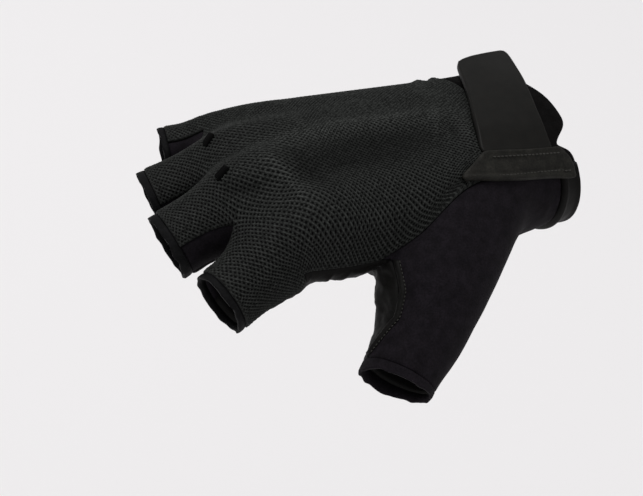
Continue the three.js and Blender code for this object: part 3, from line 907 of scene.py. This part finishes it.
# The relief of the knit at the points of its grid, four by four: two holes, staggered, and the threads.
# The nearest holes are STEPS_TO_HOLE steps apart.
STEPS_TO_HOLE = 2.83
MESH_RELIEF = np.array((
    (0.35, -0.10, 0.35, -0.10),
    (-0.10, -1.00, -0.10, 0.60),
    (0.35, -0.10, 0.35, -0.10),
    (-0.10, 0.60, -0.10, -1.00),
))


def build_back_panel():
    """The knitted mesh: a wall with rows of small holes, staggered."""
    size = sizes()
    patch = panel_patch("back_panel", size.hole_spacing / STEPS_TO_HOLE)
    relief = MESH_RELIEF[patch.step[:, 0] % 4, patch.step[:, 1] % 4]
    edge = np.clip(patch.rim_distance / (1.2 * MM), 0, 1)
    fold = creases(patch.points)
    high = soft_edge(patch.rim_distance, WALLS["back_panel"], 0.88) + relief * edge * size.hole_depth + fold
    made = patch.wall("knitted_back", fold, high)
    # the relief, which the material also turns into painted highlights on the raised threads and painted
    # shade in the holes
    point_values(made, "relief", relief * edge)
    # the crease heights, which the material turns into painted light on the ridges of the folds and painted
    # shade in their hollows
    point_values(made, "stretch", fold / MM)
    return made


def hem_end(name):
    """The middle of a hem's open end, and the direction out of it."""
    size = sizes()
    for finger in FINGERS:
        if finger.name == name:
            forward = finger_axes(finger)[0]
            return in_hand(finger) + forward * finger.length * size.finger_length, forward
    last, before = in_hand(THUMB_RINGS[-1]), in_hand(THUMB_RINGS[-2])
    return last, unit(last - before)


def build_hem(name):
    """A turned hem: the knit folded in, with a soft and uneven lip."""
    patch = panel_patch("hem_" + name, 0.5 * MM)
    wave = field(patch.points, 6 * MM, 3) * 0.3 * MM
    high = soft_edge(patch.rim_distance, HEM_WALL, 0.85, 0.7 * MM) + wave
    points, faces, weave = patch.shell(np.minimum(wave, 0.2 * MM), high)
    end, forward = hem_end(name)
    share = 1 - ease((end - points) @ forward / (2.5 * MM))
    points += forward * (share * field(points, 4 * MM, 9) * 0.8 * MM)[:, None]
    return new_mesh("turned_hem_" + name, points, faces, weave)


# The plain panels: the spacing of their mesh, the height and the size of their wrinkles, and the height of
# the roll along their edge, in millimetres.
Panel = namedtuple("Panel", "node mesh material slot spacing wrinkle lump roll")
PALM = (
    Panel("palm_panel", "leather_palm", "synthetic leather", "palm_leather", 0.7, 0.6, 5, 0),
)
STRETCH = (
    Panel("thumb_panel", "stretch_thumb", "brushed stretch jersey", "stretch_knit", 0.8, 0.15, 12, 0),
    *(
        Panel(node, "stretch_" + node, "brushed stretch jersey", "stretch_knit", 0.6, 0.1, 6, 0)
        for node in ("gusset_index_middle", "gusset_middle_ring", "gusset_ring_little")
    ),
)
WRIST = (
    Panel("loop_pad", "wrist_loop_pad", "brushed loop fabric", "loop_fabric", 0.8, 0.12, 5, 0),
    Panel("wrist_binding", "wrist_edge_binding", "synthetic leather", "edge_binding", 0.6, 0.12, 4, 0.8),
)


def build_panels(panels):
    """Plain panels with soft wrinkles, and a roll along the edge of those that have one."""
    for panel in panels:
        patch = panel_patch(panel.node, panel.spacing * MM)
        rim = patch.rim_distance
        fold = creases(patch.points)
        lump = panel.lump * MM
        bumps = field(patch.points, lump, 1) + 0.5 * field(patch.points, lump * 0.45, 2)
        edge = np.clip(rim / (3 * MM), 0, 1)
        high = soft_edge(rim, WALLS[panel.node]) + fold + bumps * edge * panel.wrinkle * MM
        high += panel.roll * MM * bell(rim, 1.3, 0.8)
        made = patch.wall(panel.mesh, fold, high)
        finish_piece(made, cloth_material(panel.material), panel.node)


# Materials. Patterns are given as lumps for each millimetre. The real threads and grains are finer: they
# are drawn as coarse as they need to be to show in the picture.

# the lumps of the painted glints on the knit's threads, for each millimetre
GLINT_LUMPS = 1.3
THREADS = 2.2
TONES = 0.26  # slow changes of tone in every cloth
MIX_FACTOR, MIX_A, MIX_B = 0, 6, 7  # the inputs of a mix node that mixes colours
MIX_COLOUR = 2  # and its output


def add_node(tree, kind, inputs=None, **settings):
    """Adds a node with its settings, and values or links for its inputs."""
    made = tree.nodes.new(kind)
    for name, value in settings.items():
        setattr(made, name, value)
    for name, value in (inputs or {}).items():
        if isinstance(value, bpy.types.NodeSocket):
            tree.links.new(value, made.inputs[name])
        else:
            made.inputs[name].default_value = value
    return made


def new_material(name, **shader):
    """A material with one surface shader. Returns it with its tree and shader."""
    made = bpy.data.materials.new(name)
    made.use_nodes = True
    tree = made.node_tree
    tree.nodes.clear()
    surface = add_node(tree, "ShaderNodeBsdfPrincipled")
    for socket, value in shader.items():
        surface.inputs[socket.replace("_", " ")].default_value = value
    add_node(tree, "ShaderNodeOutputMaterial", {"Surface": surface.outputs[0]})
    return made, tree, surface


def opaque(rgb, factor=1.0):
    """A colour with full alpha, made lighter or darker by a factor."""
    return (*(min(c * factor, 1.0) for c in rgb), 1.0)


def knit_colour(tree, place):
    """The colour of the knit, with painted light: painted highlights on raised threads and on the ridges of
    folds, painted glints on the threads, and painted shade in creases. Its holes are dark for the dark inside
    seen through them, with painted shade.
    """
    c = colours()
    relief = add_node(tree, "ShaderNodeAttribute", attribute_name="relief")
    # painted glints: noise that lightens the threads in small spots, from 0.35 to 1.6 times their colour
    glint_noise = add_node(tree, "ShaderNodeTexNoise", {"Vector": place, "Scale": GLINT_LUMPS / MM, "Detail": 1.0})
    # painted light on the threads: lighter where they are raised, darker beside the holes
    raised = add_node(tree, "ShaderNodeMapRange", {
        "Value": relief.outputs["Fac"], "From Min": -0.1, "From Max": 0.6, "To Min": 0.3, "To Max": 1.0,
    })
    glint_spots = add_node(tree, "ShaderNodeMapRange", {
        "Value": glint_noise.outputs["Fac"], "From Min": 0.3, "From Max": 0.7, "To Min": 0.35, "To Max": 1.6,
    })
    # painted light and shade of the folds: the colour darkens to 0.45 in the hollows of the creases and
    # lightens to 1.35 on their ridges
    stretch = add_node(tree, "ShaderNodeAttribute", attribute_name="stretch")
    crease_light = add_node(tree, "ShaderNodeMapRange", {
        "Value": stretch.outputs["Fac"], "From Min": -1.5, "From Max": 1.5, "To Min": 0.45, "To Max": 1.35,
    })
    lit = add_node(tree, "ShaderNodeMath", {0: crease_light.outputs[0], 1: glint_spots.outputs[0]}, operation="MULTIPLY")
    both = add_node(tree, "ShaderNodeMath", {0: raised.outputs[0], 1: lit.outputs[0]}, operation="MULTIPLY")
    # the threads range from a shaded copy to a lit copy of their colour: painted light
    thread = add_node(tree, "ShaderNodeMix", {
        MIX_FACTOR: both.outputs[0], MIX_A: opaque(c.mesh_thread, 0.12), MIX_B: opaque(c.mesh_thread, 2.65),
    }, data_type="RGBA", clamp_factor=False)
    # the holes: the dark inside seen through them, with painted shade
    open_part = add_node(tree, "ShaderNodeMapRange", {
        "Value": relief.outputs["Fac"], "From Min": -0.08, "From Max": -0.42,
    }, interpolation_type="SMOOTHSTEP")
    knit = add_node(tree, "ShaderNodeMix", {
        MIX_FACTOR: open_part.outputs[0], MIX_A: thread.outputs[MIX_COLOUR], MIX_B: opaque(c.mesh_hole),
    }, data_type="RGBA")
    return knit.outputs[MIX_COLOUR]


@functools.lru_cache(maxsize=None)
def knitted_polyester_mesh():
    """Knitted polyester mesh: dull threads with a faint gloss, dark holes between them, and painted light and
    shade in its colour.
    """
    made, tree, surface = new_material("knitted polyester mesh", Roughness=0.6, Specular_IOR_Level=0.04)
    place = add_node(tree, "ShaderNodeTexCoord").outputs["Object"]
    tree.links.new(knit_colour(tree, place), surface.inputs["Base Color"])
    fine = add_node(tree, "ShaderNodeTexNoise", {"Vector": place, "Scale": THREADS / MM, "Detail": 2.0})
    bump = add_node(tree, "ShaderNodeBump", {
        "Height": fine.outputs["Fac"], "Strength": 0.4, "Distance": 0.2 * MM,
    })
    tree.links.new(bump.outputs[0], surface.inputs["Normal"])
    return made


# The cloths and leathers: the gloss is the specular level, the grain is in lumps for each millimetre and
# its depth in millimetres, and the contrast is how far the tone strays from the colour.
Cloth = namedtuple("Cloth", "colour roughness gloss sheen grain depth contrast")
CLOTHS = {
    # the knit of the back turned in at the hem: tight and dark
    "turned polyester hem": Cloth("hem", 0.7, 0.08, 0.0, 1.5, 0.2, 0.6),
    # a suede finish: dull, with a fine pebbled grain
    "synthetic leather": Cloth("leather", 0.6, 0.12, 0.0, 1.4, 0.15, 0.35),
    # the same leather on the patch of the strap, lighter: the lit copy, while the leather of the palm is
    # darkened as painted shade
    "rubbed synthetic leather": Cloth("patch", 0.6, 0.12, 0.0, 1.4, 0.2, 0.5),
    # very dull, with a faint nap
    "brushed stretch jersey": Cloth("stretch", 0.85, 0.08, 0.0, 1.5, 0.2, 0.45),
    # the loops of the closure: a deep, dull pile
    "brushed loop fabric": Cloth("loop", 1.0, 0.05, 0.01, 1.6, 0.2, 0.4),
    # narrow, tight and dull
    "woven polyester tape": Cloth("mesh_hole", 0.8, 0.06, 0.0, 1.8, 0.12, 0.35),
    # satin, with the faint texture of a blasted mould
    "moulded TPU": Cloth("strap", 0.5, 0.12, 0.0, 2.6, 0.04, 0.3),
    # bonded, with a faint gloss
    "polyester sewing thread": Cloth("stitching", 0.5, 0.2, 0.0, 3.0, 0.05, 0.2),
}


@functools.lru_cache(maxsize=None)
def cloth_material(name):
    """A cloth or leather of the table, with its grain and its slow changes of tone."""
    cloth = CLOTHS[name]
    made, tree, surface = new_material(
        name, Roughness=cloth.roughness, Sheen_Weight=cloth.sheen, Specular_IOR_Level=cloth.gloss,
    )
    rgb = getattr(colours(), cloth.colour)
    place = add_node(tree, "ShaderNodeTexCoord").outputs["Object"]
    slow = add_node(tree, "ShaderNodeTexNoise", {"Vector": place, "Scale": TONES / MM, "Detail": 4.0})
    fine = add_node(tree, "ShaderNodeTexNoise", {"Vector": place, "Scale": cloth.grain / MM, "Detail": 3.0})
    both = add_node(tree, "ShaderNodeMath", {
        0: slow.outputs["Fac"], 1: fine.outputs["Fac"],
    }, operation="MULTIPLY")
    reach = add_node(tree, "ShaderNodeMapRange", {
        "Value": both.outputs[0], "From Min": 0.12, "From Max": 0.4,
    })
    tone = add_node(tree, "ShaderNodeMix", {
        MIX_FACTOR: reach.outputs["Result"],
        MIX_A: opaque(rgb, 1 - cloth.contrast),
        MIX_B: opaque(rgb, 1 + cloth.contrast),
    }, data_type="RGBA")
    tree.links.new(tone.outputs[MIX_COLOUR], surface.inputs["Base Color"])
    bump = add_node(tree, "ShaderNodeBump", {
        "Height": fine.outputs["Fac"], "Strength": 0.5, "Distance": cloth.depth * MM,
    })
    tree.links.new(bump.outputs[0], surface.inputs["Normal"])
    return made


@functools.lru_cache(maxsize=None)
def painted_floor():
    """Plain matt paint."""
    return new_material(
        "matt white paint", Roughness=0.9, Base_Color=opaque(colours().floor), Specular_IOR_Level=0.1,
    )[0]


# Ropes and rows of stitches.

ASKEW = (0.31, 0.52, 0.79)  # a direction that no rope here follows
STITCH_POINTS = 7  # along one stitch
STITCH_SIDES = 6
SUNK = 0.55  # how much of a stitch's rise lies under the cloth, and its thickness at its ends


def round_rope(line, radii, sides):
    """A closed round rope along a line of points, with its radius at each."""
    line = np.asarray(line)
    along = np.gradient(line, axis=0)
    along /= np.linalg.norm(along, axis=1)[:, None]
    side = np.cross(along, ASKEW)
    side /= np.linalg.norm(side, axis=1)[:, None]
    up = np.cross(along, side)
    angles = np.linspace(0, 2 * math.pi, sides, endpoint=False)
    rings = [
        centre + radius * (np.cos(angles)[:, None] * s + np.sin(angles)[:, None] * u)
        for centre, radius, s, u in zip(line, radii, side, up)
    ]
    points = [p for ring in rings for p in ring] + [line[0], line[-1]]
    faces = []
    for r in range(len(line) - 1):
        for k in range(sides):
            n = (k + 1) % sides
            faces.append((r * sides + k, r * sides + n, (r + 1) * sides + n, (r + 1) * sides + k))
    last = (len(line) - 1) * sides
    for k in range(sides):
        n = (k + 1) % sides
        faces.append((n, k, last + sides))
        faces.append((last + k, last + n, last + sides + 1))
    return points, faces


def stitch_row(line, outward, stitch, gap, thread):
    """A row of stitches along a line: each rises from the cloth and goes back into it."""
    line = np.asarray(line)
    outward = np.asarray(outward)
    run = np.concatenate([[0], np.cumsum(np.linalg.norm(np.diff(line, axis=0), axis=1))])
    points = []
    faces = []
    start = gap / 2
    while start + stitch < run[-1]:
        at = start + stitch * np.linspace(0, 1, STITCH_POINTS)
        middle = np.stack([np.interp(at, run, line[:, k]) for k in range(3)], axis=1)
        out = np.stack([np.interp(at, run, outward[:, k]) for k in range(3)], axis=1)
        lift = np.sin(np.linspace(0, math.pi, STITCH_POINTS))
        middle = middle + out * ((lift - SUNK) * thread * 0.7)[:, None]
        rope, sides = round_rope(middle, thread / 2 * (SUNK + (1 - SUNK) * lift), STITCH_SIDES)
        faces += [tuple(i + len(points) for i in face) for face in sides]
        points += rope
        start += stitch + gap
    return points, faces


def wrist_line(rows, size, place, *, start, end, height, count):
    """A line on a layer of the wrist, at a place among its rows, lifted off the glove."""
    low = min(int(place), len(rows) - 2)
    line = []
    outward = []
    for along in np.linspace(start, end, count):
        ends = zip(in_layer(rows[low], along), in_layer(rows[low + 1], along))
        x, angle = (between(near, far, place - low) for near, far in ends)
        out = round_wrist(angle)
        line.append(on_wrist(x * size, angle) + out * height)
        outward.append(out)
    return line, outward


# The strap, the thumb's seam and the tabs.

def build_patch():
    """The leather patch that the strap is sewn to: its upper edge covers the end of the strap."""
    size = sizes()
    grid = wrist_layer(PATCH_ROWS, size.patch_length, steps=12)
    patch = grid_patch(grid, smoothed=3, spacing=0.5 * MM)
    over = 1 - ease(distance_to(patch.points, grid[-1]) / (3.5 * MM))
    low = size.layer_gap + over * SEWN_END
    grain = field(patch.points, 3 * MM, 4) * 0.08 * MM
    piping = 0.9 * MM * bell(distance_to(patch.points, grid[0]), 1.1, 0.8)
    furrow = np.zeros(len(patch.points))
    for place in STITCH_PLACES:
        line, _ = wrist_line(PATCH_ROWS, size.patch_length, place, start=0.1, end=0.97, height=0.0, count=30)
        furrow -= 0.3 * MM * bell(distance_to(patch.points, line), 0, 0.6)
    high = low + soft_edge(patch.rim_distance, size.patch_thickness) + piping + furrow + grain
    made = patch.wall("strap_leather_patch", low, high)
    finish_piece(made, cloth_material("rubbed synthetic leather"), "strap_patch")
    top = size.layer_gap + size.patch_thickness
    for k, place in enumerate(STITCH_PLACES):
        lift = top - 0.1 * MM + (SEWN_WALL if k == 0 else 0)
        line, outward = wrist_line(
            PATCH_ROWS, size.patch_length, place, start=0.12, end=0.95, height=lift, count=120,
        )
        points, faces = stitch_row(line, outward, size.stitch_length, size.stitch_length * 0.35, size.thread)
        made = new_mesh(f"patch_stitches_{k + 1}", points, faces)
        finish_piece(made, cloth_material("polyester sewing thread"), None)


def build_strap():
    """The strap: its thin end is sewn under the patch, and its free end stands off the wrist."""
    size = sizes()
    grid = wrist_layer(STRAP_ROWS, size.strap_width, steps=6)
    last, before = grid[-1], grid[-2]
    # rows past the wrist: their shares of the free end, and how far their corners are drawn in
    for share, corner in ((0.5, 0), (0.82, 0), (1.0, 0.06)):
        row = [p + unit(p - q) * size.strap_tail * share for p, q in zip(last, before)]
        middle = (row[0] + row[-1]) / 2
        grid.append([between(p, middle, corner * 2) for p in row])
    patch = grid_patch(grid, smoothed=3, spacing=0.6 * MM)
    run = distance_to(patch.points, grid[0])
    low = size.layer_gap + ease(run / (45 * MM)) * (size.patch_thickness + size.layer_gap)
    wall = between(SEWN_WALL, STRAP_WALL, ease(run / (12 * MM)))
    bead = 0.12 * MM * bell(patch.rim_distance, 0.9, 0.4) * ease(run / (9 * MM))
    grain = field(patch.points, 9 * MM, 7) * 0.12 * MM
    high = low + soft_edge(patch.rim_distance, 1.0, 0.3, 0.8 * MM) * wall + bead + grain
    made = patch.wall("moulded_wrist_strap", low, high)
    finish_piece(made, cloth_material("moulded TPU"), "strap")


def build_thumb_seam():
    """The raised seam down the thumb, along the edge of the leather, with its stitches."""
    size = sizes()
    grid = []
    for station in np.linspace(0.15, 3.8, 30):
        index = int(station)
        share = station - index
        ring, following = THUMB_RINGS[index], THUMB_RINGS[index + 1]
        distal, dorsal = (
            between(near, far, share) for near, far in zip(thumb_axes(index), thumb_axes(index + 1))
        )
        centre = between(in_hand(ring), in_hand(following), share)
        turn = math.radians(between(ring.seam, following.seam, share))
        half = size.seam_width / 2 / (between(ring.width, following.width, share) * size.thumb_half_width)
        row = []
        for side in (1, 0.5, 0, -0.5, -1):
            angle = turn + side * half
            row.append(outside(centre, distal * math.cos(angle) + dorsal * math.sin(angle)))
        if all(p is not None for p in row):
            grid.append(row)
    patch = grid_patch(grid, smoothed=2, spacing=0.35 * MM)
    low = np.full(len(patch.points), 0.1 * MM)
    share = 1 - np.minimum(patch.rim_distance / (size.seam_width / 2), 1)
    high = low + size.seam_height * np.sqrt(np.maximum(1 - share ** 2, 0.02))
    high += field(patch.points, 2 * MM, 6) * 0.12 * MM
    made = patch.wall("thumb_leather_seam", low, high)
    finish_piece(made, cloth_material("synthetic leather"), "thumb_seam")
    line = [row[0] for row in grid]
    outward = []
    for k, row in enumerate(grid):
        onward = grid[min(k + 1, len(grid) - 1)][2] - grid[max(k - 1, 0)][2]
        outward.append(unit(np.cross(row[-1] - row[0], onward)))
    if np.dot(outward[len(grid) // 2], OFF_THUMB) < 0:
        outward = [-o for o in outward]
    points, faces = stitch_row(
        [p + o * 0.35 * MM for p, o in zip(line, outward)], outward,
        size.stitch_length * 0.7, size.stitch_length * 0.5, size.thread * 0.8,
    )
    made = new_mesh("thumb_seam_stitches", points, faces)
    finish_piece(made, cloth_material("polyester sewing thread"), None)


# The pull tabs beside two of the webs: their ends, as shares of the palm's length and half width.
Tab = namedtuple("Tab", "node from_x from_y to_x to_y")
TABS = (
    Tab("web_tab_middle_ring", -1.314, -0.03, -1.372, -0.07),
    Tab("web_tab_ring_little", -1.23, 0.505, -1.287, 0.428),
)


def build_tab(tab):
    """A pull tab: a short loop of tape, higher in its middle."""
    size = sizes()
    grid = []
    for share in np.linspace(0, 1, 9):
        row = []
        for side in np.linspace(1, -1, 7):
            x = between(tab.from_x, tab.to_x, share) * size.palm_length
            y = between(tab.from_y, tab.to_y, share) * size.palm_half_width - side * size.tab_width / 2
            row.append(outside((x, y, -size.hand_thickness / 2), (0.0, 0.0, 1.0)))
        grid.append(row)
    patch = grid_patch(grid, smoothed=2, spacing=0.3 * MM)
    low = np.full(len(patch.points), 0.1 * MM)
    high = low + soft_edge(patch.rim_distance, size.tab_thickness, 0.2)
    high -= 0.35 * MM * bell(patch.rim_distance, 1.5, 0.3)
    made = patch.wall("pull_" + tab.node, low, high)
    finish_piece(made, cloth_material("woven polyester tape"), tab.node)


# The stage. The camera stands where the photograph's did: the picture's scale at the wrist, its angles,
# and the place of the wrist's centre in the picture.
PICTURE = (643, 496)
CAMERA_AZIMUTH = -38.0
CAMERA_ELEVATION = 37.0
CAMERA_ROLL = 14.0
CAMERA_DISTANCE = 0.95
PIXEL_SIZE = 0.37 * MM
WRIST_IN_PICTURE = (470, 141)
SENSOR = 36.0
FLOOR_HALF = 6
FLOOR_HEIGHT = -0.3

# The lamps: where they stand as the picture sees it, their power and their width.
Lamp = namedtuple("Lamp", "name right up towards power width")
LAMPS = (
    Lamp("key", -0.1, 1.0, 0.6, 41.0, 1.2),
    Lamp("fill", 0.8, 0.1, 0.6, 4.0, 2.0),
)
LAMP_DISTANCE = 2.8
SKY = 0.52


def build_stage():
    """The floor, the lights and the camera."""
    scene = bpy.context.scene
    scene.view_settings.view_transform = "Standard"
    a, e, r = (math.radians(v) for v in (CAMERA_AZIMUTH, CAMERA_ELEVATION, CAMERA_ROLL))
    back = Vector((math.sin(a) * math.cos(e), -math.cos(a) * math.cos(e), math.sin(e)))
    level = Vector((math.cos(a), math.sin(a), 0))
    above = back.cross(level)
    right = math.cos(r) * level + math.sin(r) * above
    up = math.cos(r) * above - math.sin(r) * level
    shift_x = (WRIST_IN_PICTURE[0] - PICTURE[0] / 2) * PIXEL_SIZE
    shift_y = (WRIST_IN_PICTURE[1] - PICTURE[1] / 2) * PIXEL_SIZE
    data = bpy.data.cameras.new("camera")
    data.sensor_width = SENSOR
    data.lens = CAMERA_DISTANCE / PIXEL_SIZE * SENSOR / PICTURE[0]
    data.clip_end = 20.0
    camera = bpy.data.objects.new("camera", data)
    place = back * CAMERA_DISTANCE - right * shift_x + up * shift_y
    camera.matrix_world = Matrix.Translation(place) @ Matrix((right, up, back)).transposed().to_4x4()
    scene.collection.objects.link(camera)
    scene.camera = camera

    corners = [
        (x * FLOOR_HALF, y * FLOOR_HALF, FLOOR_HEIGHT) for x, y in ((-1, -1), (1, -1), (1, 1), (-1, 1))
    ]
    floor = new_mesh("floor", corners, [(0, 1, 2, 3)])
    floor.data.materials.append(painted_floor())

    world = bpy.data.worlds.new("studio")
    scene.world = world
    world.use_nodes = True
    sky = world.node_tree.nodes["Background"].inputs
    sky["Color"].default_value = (1, 1, 1, 1)
    sky["Strength"].default_value = SKY
    for lamp in LAMPS:
        light = bpy.data.lights.new(lamp.name, "AREA")
        light.energy = lamp.power
        light.size = lamp.width
        towards = up * lamp.up + back * lamp.towards + right * lamp.right
        made = bpy.data.objects.new(lamp.name, light)
        made.location = towards.normalized() * LAMP_DISTANCE
        made.rotation_euler = towards.to_track_quat("Z", "Y").to_euler()
        scene.collection.objects.link(made)


# Operators.

class GLOVE_OT_stage(bpy.types.Operator):
    """Adds the floor, the lights and the camera"""

    bl_idname = "glove.stage"
    bl_label = "Stage"

    def execute(self, context):
        build_stage()
        return {"FINISHED"}


class GLOVE_OT_back_panel(bpy.types.Operator):
    """Adds the knitted mesh on the back of the hand"""

    bl_idname = "glove.back_panel"
    bl_label = "Knitted back"

    def execute(self, context):
        finish_piece(build_back_panel(), knitted_polyester_mesh(), "back_panel")
        return {"FINISHED"}


class GLOVE_OT_palm_panel(bpy.types.Operator):
    """Adds the leather palm"""

    bl_idname = "glove.palm_panel"
    bl_label = "Leather palm"

    def execute(self, context):
        build_panels(PALM)
        return {"FINISHED"}


class GLOVE_OT_stretch_panels(bpy.types.Operator):
    """Adds the thumb panel and the gussets between the fingers"""

    bl_idname = "glove.stretch_panels"
    bl_label = "Stretch panels"

    def execute(self, context):
        build_panels(STRETCH)
        return {"FINISHED"}


class GLOVE_OT_wrist(bpy.types.Operator):
    """Adds the loop pad and the binding of the wrist opening"""

    bl_idname = "glove.wrist"
    bl_label = "Wrist"

    def execute(self, context):
        build_panels(WRIST)
        return {"FINISHED"}


class GLOVE_OT_hems(bpy.types.Operator):
    """Adds the hems of the fingers and the thumb"""

    bl_idname = "glove.hems"
    bl_label = "Hems"

    def execute(self, context):
        for name in ("index", "middle", "ring", "little", "thumb"):
            material = cloth_material("brushed stretch jersey" if name == "thumb" else "turned polyester hem")
            finish_piece(build_hem(name), material, "hem_" + name)
        return {"FINISHED"}


class GLOVE_OT_strap(bpy.types.Operator):
    """Adds the leather patch and the moulded strap"""

    bl_idname = "glove.strap"
    bl_label = "Strap"

    def execute(self, context):
        build_patch()
        build_strap()
        return {"FINISHED"}


class GLOVE_OT_thumb_seam(bpy.types.Operator):
    """Adds the raised seam down the thumb"""

    bl_idname = "glove.thumb_seam"
    bl_label = "Thumb seam"

    def execute(self, context):
        build_thumb_seam()
        return {"FINISHED"}


class GLOVE_OT_tabs(bpy.types.Operator):
    """Adds the pull tabs beside two of the webs"""

    bl_idname = "glove.tabs"
    bl_label = "Pull tabs"

    def execute(self, context):
        for tab in TABS:
            build_tab(tab)
        return {"FINISHED"}


class GLOVE_PT_panel(bpy.types.Panel):
    """The glove's sizes, colours and steps"""

    bl_idname = "GLOVE_PT_panel"
    bl_label = "Cycling glove"
    bl_space_type = "VIEW_3D"
    bl_region_type = "UI"
    bl_category = "Glove"

    def draw(self, context):
        for operator in OPERATORS:
            self.layout.operator(operator.bl_idname)
        for group in (context.scene.glove_sizes, context.scene.glove_colours):
            for name in group.bl_rna.properties.keys():
                if name not in ("rna_type", "name"):
                    self.layout.prop(group, name)


OPERATORS = (
    GLOVE_OT_stage,
    GLOVE_OT_back_panel,
    GLOVE_OT_palm_panel,
    GLOVE_OT_stretch_panels,
    GLOVE_OT_wrist,
    GLOVE_OT_hems,
    GLOVE_OT_strap,
    GLOVE_OT_thumb_seam,
    GLOVE_OT_tabs,
)
CLASSES = (GloveSizes, GloveColours, *OPERATORS, GLOVE_PT_panel)


def register():
    """Registers the classes and their settings."""
    for cls in CLASSES:
        bpy.utils.register_class(cls)
    bpy.types.Scene.glove_sizes = PointerProperty(type=GloveSizes)
    bpy.types.Scene.glove_colours = PointerProperty(type=GloveColours)


def unregister():
    """Removes the settings and the classes."""
    del bpy.types.Scene.glove_colours
    del bpy.types.Scene.glove_sizes
    for cls in reversed(CLASSES):
        bpy.utils.unregister_class(cls)


def main():
    """Builds the whole scene."""
    register()
    for operator in OPERATORS:
        group, name = operator.bl_idname.split(".")
        getattr(getattr(bpy.ops, group), name)()


if __name__ == "__main__":
    main()
